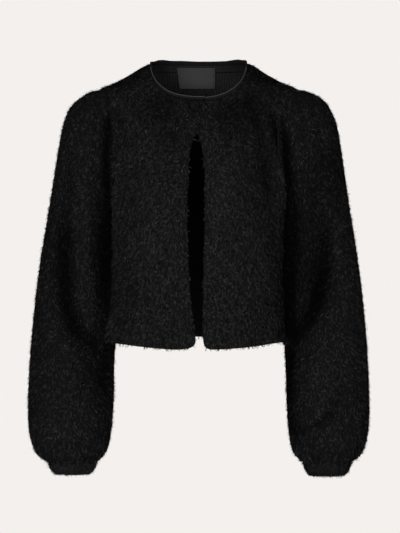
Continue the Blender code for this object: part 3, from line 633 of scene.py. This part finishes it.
def sink_ground(node, shape):
    """Moves a panel's outer side under the pile, little by the pieces next to it, and draws in its edges."""
    shape.normal_update()
    ends = [v for v in shape.verts if v.is_boundary and at_free_edge(v.co)]
    trees = body_trees([other for other in PANELS if other != node])
    for vert in ends:
        inland = [e.other_vert(vert) for e in vert.link_edges if not e.is_boundary]
        if inland:
            way = (inland[0].co - vert.co).normalized()
            vert.co += HEM_SINK * way
    for vert in shape.verts:
        away = min(tree.find_nearest(vert.co)[3] for tree in trees)
        vert.co -= GROUND_SINK * float(ramp(away, *NEIGHBOUR_REACH)) * vert.normal


def gather_end(mesh, arm):
    """Folds the end of a sleeve into uneven pleats that run down into its cuff."""
    places, outs = points_of(mesh), normals_of(mesh)
    ring = places[places[:, 2] < CUFF_TOP + SLEEVE_END]
    middle = (ring[:, :2].min(axis=0) + ring[:, :2].max(axis=0)) / 2
    spoke = places[:, :2] - middle
    reach = np.linalg.norm(spoke, axis=1)
    around = np.arctan2(spoke[:, 1], arm * spoke[:, 0])
    fade = (1 - ramp(places[:, 2], *GATHER_HEIGHTS)) * ramp(places[:, 2], CUFF_TOP, CUFF_TOP + GATHER_END)
    moved = np.zeros(len(places))
    for k, degrees in enumerate(PLEATS):
        turn = np.angle(np.exp(1j * (around - math.radians(degrees))))
        depth = GATHER_DEPTH * PLEAT_DEPTHS[k % len(PLEAT_DEPTHS)]
        moved -= depth * np.exp(-((turn * reach / GATHER_WIDTH) ** 2))
    rise = GATHER_RISE * GATHER_DEPTH
    set_points(mesh, places + outs * ((moved + rise) * fade)[:, None])


def ground_piece(node):
    """A panel's knitted ground: a thin shell, with its open outer side kept for rooting the pile."""
    shape = outer_side(node)
    sink_ground(node, shape)
    piece = add_piece(f"{node}_ground", shape, made_of("brushed_ground"), made_of("inside_knit"))
    subdivide(piece, GROUND_LEVELS)
    apply_modifiers(piece)
    crease(node, piece.data)
    if node.startswith("sleeve"):
        hug_body(node, piece.data)
        gather_end(piece.data, 1 if node.endswith("left") else -1)
    roots = piece.data.copy()
    # painted shade of the creases and listed places, also on the ground under the pile
    painted_lit = piece.data.attributes.new("painted_lit", "FLOAT", "POINT")
    painted_lit.data.foreach_set("value", painted_light_share(node, points_of(roots), normals_of(roots)).astype(np.float32))
    wall = piece.modifiers.new("wall", "SOLIDIFY")
    wall.thickness = GROUND_THICKNESS
    wall.offset = -1
    wall.material_offset = 1
    apply_modifiers(piece)
    return piece, roots


# ---- Pile ----


def spots_on(mesh, count, random):
    """Places spread evenly over a mesh, with the directions out of it there."""
    mesh.calc_loop_triangles()
    corners = np.empty(len(mesh.loop_triangles) * 3, np.int32)
    mesh.loop_triangles.foreach_get("vertices", corners)
    corners = corners.reshape(-1, 3)
    places, normals = points_of(mesh), normals_of(mesh)
    a, b, c = (places[corners[:, k]] for k in range(3))
    areas = np.linalg.norm(np.cross(b - a, c - a), axis=1) / 2
    edges = np.cumsum(areas) / areas.sum()
    at = np.searchsorted(edges, (np.arange(count) + random.random(count)) / count)
    at = np.minimum(at, len(areas) - 1)
    u, v = random.random(count), random.random(count)
    flip = u + v > 1
    u, v = np.where(flip, 1 - u, u), np.where(flip, 1 - v, v)
    shares = np.stack([1 - u - v, u, v], axis=1)[..., None]
    place = (places[corners[at]] * shares).sum(axis=1)
    out = unit((normals[corners[at]] * shares).sum(axis=1))
    return place, out


def soft_noise(places, size, random):
    """A smooth value from about -1 to 1 that changes over that size."""
    value = np.zeros(places.shape[:-1])
    for _ in range(NOISE_WAVES):
        way = unit(random.normal(size=3))
        phase = places @ way * (2 * math.pi / size) * random.uniform(*NOISE_PACES)
        value += np.sin(phase + random.uniform(*NOISE_STARTS))
    return value / math.sqrt(NOISE_WAVES / 2) / NOISE_PEAK


def turned(way, side, angle):
    """Each direction, turned by its angle towards another that is square to it."""
    angle = angle[:, None]
    return way * np.cos(angle) + side * np.sin(angle)


def combed(places, outs, random):
    """The way that the pile is combed at each place, along the cloth: downwards, with swirls."""
    down = COMB_OUTWARD * places
    down[:, 2] = -1.0
    way = unit(down - (down * outs).sum(axis=1, keepdims=True) * outs)
    stray = random.normal(0, LOCK_STRAY, len(places))
    for size, degrees in SWIRLS:
        stray = stray + degrees * soft_noise(places, size, random)
    return turned(way, np.cross(outs, way), np.radians(stray))


def fibre_mesh(name, base, middle, tip, across, out, width, tone):
    """One mesh of many bent blades, two triangles to the middle and one to the tip, softly shaded."""
    facing = unit(np.cross(across, tip - base))
    outward = np.sign((facing * out).sum(axis=1))[:, None]
    across, facing = across * outward, facing * outward
    shaded = unit(CLOTH_SHADING * out + (1 - CLOTH_SHADING) * facing)
    half = across * width[:, None] / 2
    waist = FIBRE_TAPER * half
    places = np.stack([base - half, base + half, middle + waist, middle - waist, tip], axis=1)
    count, points = places.shape[:2]
    blade = np.array([[0, 1, 2], [0, 2, 3], [3, 2, 4]])
    corners = (np.arange(count)[:, None, None] * points + blade).reshape(-1)
    mesh = bpy.data.meshes.new(name)
    mesh.vertices.add(count * points)
    mesh.vertices.foreach_set("co", places.astype(np.float32).ravel())
    mesh.loops.add(len(corners))
    mesh.loops.foreach_set("vertex_index", corners.astype(np.int32))
    mesh.polygons.add(count * len(blade))
    mesh.polygons.foreach_set("loop_start", np.arange(0, len(corners), 3, dtype=np.int32))
    mesh.update(calc_edges=True)
    shade = mesh.attributes.new("tone", "FLOAT", "POINT")
    shade.data.foreach_set("value", np.repeat(tone, points).astype(np.float32))
    mesh.shade_smooth()
    mesh.normals_split_custom_set_from_vertices(np.repeat(shaded, points, axis=0))
    return mesh


def edge_nearness(node, places):
    """1 on a body panel's free edges, falling to 0 inland; less than 0 where a sleeve meets its cuff."""
    if node.startswith("sleeve"):
        return -CUFF_COVER * (1 - ramp(places[:, 2], CUFF_TOP, CUFF_TOP + CUFF_COVER_HEIGHT))
    near = np.clip(1 - (places[:, 2] - places[:, 2].min()) / HEM_SHORTENING, 0, 1)
    if node.startswith("front"):
        rings = [ring for ring, _ in edge_rings(node)]
        edge = filled_in(rings[0])
        edge = edge[(np.abs(edge[:, 0]) < GAP_HALF_WIDTH) & (edge[:, 2] < NECKLINE_FOOT)]
        near = np.maximum(near, np.clip(1 - distance_to(edge, places) / EDGE_SHORTENING, 0, 1))
    return near


def painted_light_share(node, places, outs):
    """The share of the light painted onto a panel's pile: painted shade in its creases, and painted shade or
    light where listed.
    """
    depths = crease_depths(node, places, outs, SHADE_FACING)
    depth = sum(np.maximum(depth, 0) for side, depth in depths if side)
    left = 1 - CREASE_SHADE * ramp(depth / CREASE_FULL, 0, 1)
    for side, x, z, across, high, share in PAINTED_LIGHT_AND_SHADE[node]:
        away = np.hypot((places[:, 0] / MILLIMETRE - x) / across, (places[:, 2] / MILLIMETRE - z) / high)
        left = left * (1 - share * np.exp(-(away**2)) * ramp(side * outs[:, 1], *SHADE_FACING))
    return left


def each(values):
    """What each lock has, for each of its fibres."""
    return np.repeat(values, LOCK_FIBRES, axis=0)


def bent_fibres(centre, out, way, lengths, lifts, random):
    """Each lock's fibres, drawn together towards their tips, and its loose hairs, for fibre_mesh."""
    count = len(centre) * LOCK_FIBRES
    out, way = each(out), each(way)
    side = np.cross(out, way)
    loose = random.random(count) < LOOSE_SHARE
    of_fibre = {part: np.where(loose, share, 1.0) for part, share in LOOSE_HAIR.items()}
    spread = random.normal(0, LOCK_SPREAD, (count, 2)) * of_fibre["spread"][:, None]
    off_lock = spread[:, :1] * way + spread[:, 1:] * side
    base = each(centre) + off_lock - ROOT_DEPTH * out
    fibre = each(lengths) * random.uniform(*FIBRE_LENGTHS, count) * of_fibre["length"]
    lift = each(lifts) + np.radians(random.normal(0, FIBRE_LIFT, count))
    lift = lift + np.where(loose, LOOSE_LIFT, 0.0)
    stray = np.radians(random.normal(0, FIBRE_STRAY, count)) * of_fibre["stray"]
    curl = each(random.normal(0, LOCK_CURL, len(centre))) + random.normal(0, FIBRE_CURL, count)
    first = unit(turned(way, side, stray))
    later = unit(turned(way, side, stray + np.radians(curl)))
    droop = lift - np.radians(random.uniform(*FIBRE_DROOPS, count))
    reach = fibre[:, None] / 2
    middle = base + reach * turned(first, out, lift)
    tip = middle + reach * turned(later, out, droop)
    drawn = np.where(loose, 0.0, TIP_DRAWN)[:, None]
    middle = middle - MIDDLE_DRAWN * drawn * off_lock
    tip = tip - drawn * off_lock
    roll = np.radians(random.normal(0, FIBRE_ROLL, count))
    across = turned(unit(np.cross(out, tip - base)), out, roll)
    width = FIBRE_WIDTH * random.uniform(*FIBRE_WIDTHS, count) * of_fibre["width"]
    return base, middle, tip, across, out, width


def pile_piece(node, roots, locks, seed, length=FIBRE_LENGTH, shortening=None, bare=None, light=1.0):
    """A piece's brushed pile, shorter where a measure says so and left off where a piece is bare."""
    random = np.random.default_rng(seed)
    centre, out = spots_on(roots, locks, random)
    # painted shade and light, carried in each fibre's tone
    shaded = painted_light_share(node, centre, out) if node in PANELS else np.full(locks, light)
    way = combed(centre, out, random)
    lengths = length * random.uniform(*LOCK_LENGTHS, locks)
    if shortening is not None:
        lengths *= 1 - EDGE_SHORTNESS * shortening(centre)
    lifts = np.radians(random.uniform(*LOCK_LIFTS, locks))
    tone = random.random(locks)
    fibres = bent_fibres(centre, out, way, lengths, lifts, random)
    base, middle, tip = fibres[:3]
    mixed = LOCK_TONE * each(tone) + (1 - LOCK_TONE) * random.random(len(base))
    shade = mixed**TONE_POWER * each(shaded)
    kept = np.ones(len(base), bool)
    if bare is not None:
        kept = ~(bare(tip) | bare(middle) | bare(base))
    mesh = fibre_mesh(f"{node}_pile", *(part[kept] for part in (*fibres, shade)))
    return add_mesh(f"{node}_pile", mesh, made_of("brushed_pile"))


# ---- Trim ----


def neckline():
    """The neckline on the body's outer side, right front to left front, and the directions out there."""
    parts = []
    for node, towards_left in (("front_right", False), ("back", True), ("front_left", False)):
        others = [name for name in PANELS if name != node]
        places, outs = edge_rings(node)[0]
        free = ~beside(places, others)
        high = places[:, 2] > NECKLINE_FOOT
        marks = free & high
        marks = marks | ((np.roll(marks, 1) | np.roll(marks, -1)) & (places[:, 2] > 0))
        run = max(runs(marks), key=len)
        if (places[run[-1], 0] > places[run[0], 0]) != towards_left:
            run = run[::-1]
        parts.append((places[run], outs[run]))
    line = np.concatenate([np.concatenate(part, axis=1) for part in parts])
    both = even_line(line, BAND_STEP, NECKLINE_SMOOTHING)
    return both[:, :3], unit(both[:, 3:])


def band_frame(line, outs):
    """The neckband's own directions at each point of its line: its foot, up it and out of its face."""
    along = unit(np.gradient(line, axis=0))
    onward = unit(np.cross(outs, along))
    onward *= np.sign(onward[:, 2].sum())
    on_cloth, straight_up = BAND_LEAN
    upright = unit(on_cloth * onward + np.array([0.0, 0.0, straight_up]))
    face = unit(np.cross(along, upright))
    face *= np.sign((face * outs).sum(axis=1))[:, None]
    foot_out = line - BAND_SINK * outs
    foot_in = line - BAND_WALL * outs
    return foot_out, foot_in, upright, face


def neckband_pieces():
    """The rolled band, finely ribbed across, and the piping along its outer face, lighter for a painted
    sheen highlight.
    """
    line, outs = neckline()
    foot_out, foot_in, upright, face = band_frame(line, outs)
    middle = (foot_out + foot_in) / 2
    across, shares = zip(*BAND_BACK)
    behind = ramp(line[:, 2], *BAND_BACK_HEIGHTS)
    height = BAND_HEIGHT * (1 + behind * (np.interp(line[:, 0], across, shares) - 1))
    height = height[:, None]
    ring = [foot_out]
    for up, toward in BAND_ROLL:
        ring.append(middle + height * (up * upright + toward * face))
    ring.append(foot_in)
    ring = np.stack(ring, axis=1)
    onward = np.roll(ring, -1, axis=1)
    near, far = 1 - BAND_CORNER_CUT, BAND_CORNER_CUT
    rounded = np.stack([near * ring + far * onward, far * ring + near * onward], axis=2)
    rounded = rounded.reshape(len(ring), -1, 3)
    heart = rounded.mean(axis=1, keepdims=True)
    along = np.arange(len(line)) * BAND_STEP
    swell = BAND_RIB_DEPTH * np.cos(2 * math.pi * along / BAND_RIB)[:, None, None]
    rounded = rounded + swell * unit(rounded - heart)
    band = grid_piece("neckband_roll", rounded, made_of("bound_knit"))
    up, toward = PIPING_PLACE
    crest = middle + height * (up * upright + toward * face)
    shown = (crest[:, 2] < PIPING_END) & (crest[:, 1] < 0)
    crests = [crest[run][2:-2:2] for run in runs(shown) if len(run) > PIPING_LEAST]
    piping = cords_piece("neckband_piping", crests, PIPING_RADIUS, made_of("piping_painted_sheen"))
    return band, piping


def neck_seam():
    """The seam inside the back of the neck, where the binding's inner edge is sewn down."""
    shape = merged("back")
    tree = BVHTree.FromBMesh(shape)
    shape.free()
    line = []
    for x in np.linspace(-NECK_SEAM_HALF_WIDTH, NECK_SEAM_HALF_WIDTH, NECK_SEAM_POINTS):
        hit = tree.ray_cast((x, 0.0, NECK_SEAM_HEIGHT), (0.0, 1.0, 0.0))[0]
        if hit is not None:
            line.append(np.array(hit) - (0.0, NECK_SEAM_LIFT, 0.0))
    return cords_piece("neck_seam", [np.array(line)], NECK_SEAM_RADIUS, made_of("dark_thread"))


def cuff_rings(middle, half_width, half_depth, height):
    """A cuff's rings of points: down its ribbed outside, up its inside and round its top in the sleeve."""
    points = CUFF_RIBS * CUFF_RIB_POINTS
    around = np.linspace(0.0, 2 * math.pi, points, endpoint=False)
    shares, draws = zip(*CUFF_PROFILE)
    down = np.linspace(0.0, 1.0, CUFF_ROWS)
    outside = [(share, np.interp(share, shares, draws)) for share in down]
    rim = [(share, draws[-1] + further) for share, further in CUFF_RIM]
    inside = [(share, np.interp(share, shares, draws) + CUFF_WALL) for share in down[-2::-3]]
    top = ((0.0, CUFF_WALL), (-CUFF_TUCK, CUFF_WALL), (-CUFF_TUCK, CUFF_TUCK_DRAW))
    inside += [(share, draws[0] + further) for share, further in top]
    power, foot = CUFF_RIB_SHAPE
    ribs = np.abs(np.cos(CUFF_RIBS / 2 * around)) ** power - foot
    rings = []
    for k, (share, drawn) in enumerate(outside + rim + inside):
        ribbed = CUFF_RIB_DEPTH * ribs * (1.0 if k < len(outside) else CUFF_INNER_RIBS)
        x = middle[0] + (half_width - drawn + ribbed) * np.cos(around)
        y = middle[1] + (half_depth - drawn + ribbed) * np.sin(around)
        z = np.full_like(x, CUFF_TOP - height * share)
        rings.append(np.stack([x, y, z], axis=1))
    return rings


def cuff_pieces(node, seed):
    """A ribbed cuff and its short pile."""
    places = points_of(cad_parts[node].data)
    low, high = places.min(axis=0), places.max(axis=0)
    middle = (low + high) / 2
    half = (high - low) / 2 + CUFF_PROFILE[0][1] - CUFF_RIB_DEPTH
    rings = cuff_rings(middle, half[0], half[1], CUFF_HEIGHTS[node])
    cuff = grid_piece(f"{node}_ribs", rings, made_of("ribbed_cuff"), closed_across=True)
    outside = cuff.data.copy()
    shape = bmesh.new()
    shape.from_mesh(outside)
    facing_in = []
    for face in shape.faces:
        spoke = face.calc_center_median() - Vector(middle)
        if spoke.x * face.normal.x + spoke.y * face.normal.y < 0:
            facing_in.append(face)
    bmesh.ops.delete(shape, geom=facing_in, context="FACES")
    shape.to_mesh(outside)
    shape.free()
    pile = pile_piece(node, outside, CUFF_LOCKS, seed, length=CUFF_PILE, light=CUFF_LIGHTS[node])
    return cuff, pile


def label_pieces():
    """The bare woven label, with a row of stitches along each end."""
    shape = merged("label")
    sharp = [edge for edge in shape.edges if edge.calc_face_angle(0) > RIM_ANGLE]
    bmesh.ops.bevel(
        shape,
        geom=sharp,
        offset=LABEL_BEVEL,
        segments=2,
        profile=0.5,
        affect="EDGES",
        material=-1,
        clamp_overlap=True,
    )
    label = add_piece("label_weave", shape, made_of("label_satin"))
    places = points_of(label.data)
    low, high = places.min(axis=0), places.max(axis=0)
    share = (places - low) / (high - low)
    places[:, 0] += LABEL_SLANT * (1 - share[:, 0]) * (1 - share[:, 2])
    set_points(label.data, places)
    stitches = []
    reach_across, reach_round = STITCH_REACH
    for x in (low[0] + STITCH_INSET, high[0] - STITCH_INSET):
        front = places[np.abs(places[:, 0] - x) < reach_across][:, 1].min()
        for z in np.arange(low[2] + STITCH_MARGIN, high[2] - STITCH_MARGIN, STITCH_STEP):
            near = places[np.linalg.norm(places[:, ::2] - (x, z), axis=1) < reach_round]
            front = near[:, 1].min() if len(near) else front
            start = np.array([x, front - STITCH_LIFT, z])
            middle = start + (0, -STITCH_HEIGHT, STITCH_LENGTH / 2)
            stitches.append(np.array([start, middle, start + (0, 0, STITCH_LENGTH)]))
    thread = cords_piece("label_stitches", stitches, STITCH_RADIUS, made_of("dark_thread"))
    return label, thread


def button_pieces(seed):
    """The covered button, turned about its own axis, with short fuzz."""
    places = points_of(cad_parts["button"].data)
    middle = places.mean(axis=0)
    spreads, ways = np.linalg.eigh(np.cov((places - middle).T))
    axis = ways[:, 0] * -np.sign(ways[1, 0])
    heights = (places - middle) @ axis
    base = middle + axis * heights.min()
    across = unit(np.cross((0.0, 0.0, 1.0), axis))
    shape = bmesh.new()
    line = []
    for radius, height in BUTTON_PROFILE:
        line.append(shape.verts.new(base + BUTTON_RADIUS * radius * across + BUTTON_HEIGHT * height * axis))
    edges = [shape.edges.new(pair) for pair in zip(line, line[1:])]
    bmesh.ops.spin(
        shape,
        geom=line + edges,
        cent=tuple(base),
        axis=tuple(axis),
        steps=BUTTON_STEPS,
        angle=2 * math.pi,
        use_merge=True,
    )
    bmesh.ops.remove_doubles(shape, verts=shape.verts, dist=WELD)
    bmesh.ops.holes_fill(shape, edges=[edge for edge in shape.edges if edge.is_boundary], sides=0)
    bmesh.ops.recalc_face_normals(shape, faces=shape.faces)
    button = add_piece("button_cover", shape, made_of("button_cover"))
    fuzz = pile_piece("button", button.data, BUTTON_LOCKS, seed, length=BUTTON_PILE, light=BUTTON_LIGHT)
    return button, fuzz


def seam_pieces():
    """Ridges of turned-in cloth, overcast with thread, inside the side, shoulder and armhole seams."""
    lines = []
    places, outs = edge_rings("back")[0]
    for run in runs(beside(places, ("front_right", "front_left"))):
        if len(run) > 1:
            lines.append((places - SEAM_DEPTH * outs)[run])
    for node in ("sleeve_right", "sleeve_left"):
        places, outs = max(edge_rings(node), key=lambda ring: ring[0][:, 2].mean())
        around = np.append(np.arange(len(places)), 0)
        inward = unit(places.mean(axis=0) - places)
        lines.append((places - SEAM_DEPTH * outs - SEAM_INSET * inward)[around])
    lines = [even_line(line, SEAM_STEP, SEAM_SMOOTHING) for line in lines]
    return cords_piece("seam_ridges", lines, SEAM_RADIUS, made_of("dark_thread"))


# ---- Materials ----


def new_material(name, roughness, specular):
    """A Principled material, its node tree and its shader."""
    made = bpy.data.materials.new(name)
    made.use_nodes = True
    tree = made.node_tree
    shader = tree.nodes["Principled BSDF"]
    shader.inputs["Roughness"].default_value = roughness
    shader.inputs["Specular IOR Level"].default_value = specular
    return made, tree, shader


def grey(value):
    return (*(value * share for share in TINT), 1)


def two_tones(tree, shader, factor, dark, light):
    """Colours a shader between two greys by a factor."""
    mix = tree.nodes.new("ShaderNodeMix")
    mix.data_type = "RGBA"
    mix.inputs["A"].default_value = grey(dark)
    mix.inputs["B"].default_value = grey(light)
    tree.links.new(factor, mix.inputs["Factor"])
    tree.links.new(mix.outputs["Result"], shader.inputs["Base Color"])


def raised(tree, shader, height, distance, strength):
    """Bumps a shader by a height."""
    bump = tree.nodes.new("ShaderNodeBump")
    bump.inputs["Strength"].default_value = strength
    bump.inputs["Distance"].default_value = distance
    tree.links.new(height, bump.inputs["Height"])
    tree.links.new(bump.outputs["Normal"], shader.inputs["Normal"])


def pattern_places(tree, scale=(1.0, 1.0, 1.0)):
    """Object coordinates, stretched by a scale along each axis."""
    coordinates = tree.nodes.new("ShaderNodeTexCoord")
    mapping = tree.nodes.new("ShaderNodeMapping")
    mapping.inputs["Scale"].default_value = scale
    tree.links.new(coordinates.outputs["Object"], mapping.inputs["Vector"])
    return mapping.outputs["Vector"]


def speckle(tree, scale, detail):
    """Fine noise, stretched by a scale along each axis."""
    places = pattern_places(tree, scale)
    noise = tree.nodes.new("ShaderNodeTexNoise")
    noise.inputs["Scale"].default_value = 1.0
    noise.inputs["Detail"].default_value = detail
    noise.inputs["Roughness"].default_value = 0.6
    tree.links.new(places, noise.inputs["Vector"])
    return noise.outputs["Fac"]


def ridges(tree, places, direction, scale, distortion):
    wave = tree.nodes.new("ShaderNodeTexWave")
    wave.bands_direction = direction
    wave.inputs["Scale"].default_value = scale
    wave.inputs["Distortion"].default_value = distortion
    wave.inputs["Detail"].default_value = 2.0
    wave.inputs["Detail Scale"].default_value = 3.0
    tree.links.new(places, wave.inputs["Vector"])
    return wave.outputs["Fac"]


def by_height(tree, low, high):
    """0 below one height of the object and 1 above the other."""
    coordinates = tree.nodes.new("ShaderNodeTexCoord")
    parts = tree.nodes.new("ShaderNodeSeparateXYZ")
    share = tree.nodes.new("ShaderNodeMapRange")
    share.inputs["From Min"].default_value = low
    share.inputs["From Max"].default_value = high
    tree.links.new(coordinates.outputs["Object"], parts.inputs["Vector"])
    tree.links.new(parts.outputs["Z"], share.inputs["Value"])
    return share.outputs["Result"]


def scaled(tree, value, factor):
    """One node's output times another's."""
    product = tree.nodes.new("ShaderNodeMath")
    product.operation = "MULTIPLY"
    tree.links.new(value, product.inputs[0])
    tree.links.new(factor, product.inputs[1])
    return product.outputs["Value"]


def blended(tree, first, second, factor):
    """A value between two others; each may be a number or another node's output."""
    mix = tree.nodes.new("ShaderNodeMix")
    for value, name in ((first, "A"), (second, "B"), (factor, "Factor")):
        if isinstance(value, float):
            mix.inputs[name].default_value = value
        else:
            tree.links.new(value, mix.inputs[name])
    return mix.outputs["Result"]


def own_value(tree, name):
    """The value of one of the mesh's own attributes."""
    attribute = tree.nodes.new("ShaderNodeAttribute")
    attribute.attribute_name = name
    return attribute.outputs["Fac"]


# The patterns: each gives what a material's tone follows, and what it is raised by


def mottled(tree, grain):
    fine = speckle(tree, *grain)
    return fine, fine


def fibre_tones(tree, grain):
    """Each fibre's own tone, times its painted shade and light, with no grain and not raised."""
    return own_value(tree, "tone"), None


def lit_streaks(tree, grain):
    """Streaks, darkened by the same painted crease shade as the pile over them."""
    streaks = speckle(tree, *grain)
    return scaled(tree, streaks, own_value(tree, "painted_lit")), streaks


def knitted(tree, grain):
    """Stitches inside the back, with a mottle alone above the neck seam, and painted shade further down."""
    places = pattern_places(tree)
    wales = ridges(tree, places, *WALES)
    courses = ridges(tree, places, *COURSES)
    mottle = speckle(tree, *grain)
    stitches = blended(tree, blended(tree, wales, courses, COURSES_SHARE), mottle, MOTTLE_SHARE)
    knit = blended(tree, stitches, mottle, by_height(tree, *KNIT_HEIGHTS))
    painted_lit = blended(tree, INSIDE_LIGHT, 1.0, by_height(tree, *INSIDE_LIGHT_HEIGHTS))
    return scaled(tree, knit, painted_lit), knit


# Satin rows, painted darker at the top and lighter at the foot: painted shade and light
def satin_rows(tree, grain):
    rows = ridges(tree, pattern_places(tree), *LABEL_ROWS)
    return blended(tree, by_height(tree, *LABEL_SHADE_HEIGHTS), rows, LABEL_ROWS_SHARE), rows


# Each material's pattern, the scales and the detail of its grain, its roughness and specular, its darkest
# and lightest tone, and how far and how strongly it is raised
MATERIALS = {
    "brushed_pile": (fibre_tones, None, (0.80, 0.0), (0.0002, 0.0216), None),
    "brushed_ground": (lit_streaks, ((420, 420, 110), 4), (0.90, 0.0), (0.0001, 0.0042), (0.0012, 0.8)),
    "inside_knit": (knitted, ((330, 330, 420), 3), (0.85, 0.01), (0.0010, 0.0122), (0.0010, 0.9)),
    "bound_knit": (mottled, ((500, 500, 300), 3), (0.80, 0.02), (0.0006, 0.0050), (0.0006, 0.6)),
    # the piping's lighter tones are a painted sheen highlight along the band's crest
    "piping_painted_sheen": (mottled, ((900, 900, 900), 2), (0.60, 0.10), (0.0090, 0.0190), (0.0003, 0.5)),
    "ribbed_cuff": (mottled, ((500, 500, 250), 3), (0.85, 0.04), (0.0006, 0.0035), (0.0007, 0.7)),
    "label_satin": (satin_rows, None, (0.65, 0.06), (0.0105, 0.0270), (0.0002, 0.5)),
    "dark_thread": (mottled, ((1500, 1500, 1500), 2), (0.80, 0.02), (0.0008, 0.0028), None),
    "button_cover": (mottled, ((600, 600, 600), 3), (0.80, 0.02), (0.0010, 0.0042), (0.0006, 0.7)),
}


def made_of(name):
    """The material of that name, made the first time it is asked for."""
    made = bpy.data.materials.get(name)
    if made is None:
        pattern, grain, gloss, tones, relief = MATERIALS[name]
        made, tree, shader = new_material(name, *gloss)
        shade, height = pattern(tree, grain)
        two_tones(tree, shader, shade, *tones)
        if relief:
            raised(tree, shader, height, *relief)
    return made


# ---- Stage ----


def aimed(name, data, place):
    """A lamp or a camera at a place, turned to the middle of the garment."""
    held = new_object(name, data)
    held.location = place
    held.rotation_euler = (Vector(CAMERA_AIM) - Vector(place)).to_track_quat("-Z", "Y").to_euler()
    return held


def add_stage():
    """A pale floor far below, pale surroundings and soft lamps."""
    shape = bmesh.new()
    bmesh.ops.create_grid(shape, x_segments=1, y_segments=1, size=FLOOR_SIZE)
    bmesh.ops.translate(shape, verts=shape.verts, vec=(0, 0, FLOOR_HEIGHT))
    pale, _, shader = new_material("pale_floor", 0.9, 0.1)
    shader.inputs["Base Color"].default_value = (*BACKDROP, 1)
    floor = add_piece("floor", shape, pale)
    scene = bpy.context.scene
    scene.world = bpy.data.worlds.new("pale_surroundings")
    scene.world.use_nodes = True
    sky = scene.world.node_tree.nodes["Background"]
    sky.inputs["Color"].default_value = (*BACKDROP, 1)
    sky.inputs["Strength"].default_value = 1.0
    scene.view_settings.view_transform = "Standard"
    for name, (place, power) in LAMPS.items():
        lamp = bpy.data.lights.new(name, "AREA")
        lamp.size = LAMP_SIZE
        lamp.energy = power
        aimed(name, lamp, place)


def add_camera():
    lens = bpy.data.cameras.new("camera")
    lens.lens = CAMERA_LENS
    lens.sensor_width = SENSOR_WIDTH
    bpy.context.scene.camera = aimed("camera", lens, CAMERA_AT)


# ---- The whole garment ----


def on_button(places):
    """Whether each place is over the button."""
    button = points_of(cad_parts["button"].data)
    middle = button.mean(axis=0)
    return np.linalg.norm(places - middle, axis=1) < BUTTON_BARE * BUTTON_RADIUS


def belongs(pieces, node=None):
    """Attaches each piece to the root body, and hides the node's solid that it replaces."""
    for piece in pieces:
        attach(piece, "root")
        if node:
            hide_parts(node)


def main():
    add_camera()
    add_stage()
    for seed, (node, cut) in enumerate(PANELS.items()):
        ground, roots = ground_piece(node)
        pile = pile_piece(
            node,
            roots,
            cut["locks"],
            seed,
            shortening=lambda places, node=node: edge_nearness(node, places),
            bare=on_button if node == "front_right" else None,
        )
        belongs((ground, pile), node)
    belongs([seam_pieces()])
    belongs(neckband_pieces(), "neckband")
    belongs([neck_seam()])
    for seed, node in enumerate(("cuff_right", "cuff_left"), start=10):
        belongs(cuff_pieces(node, seed), node)
    belongs(label_pieces(), "label")
    belongs(button_pieces(20), "button")


main()
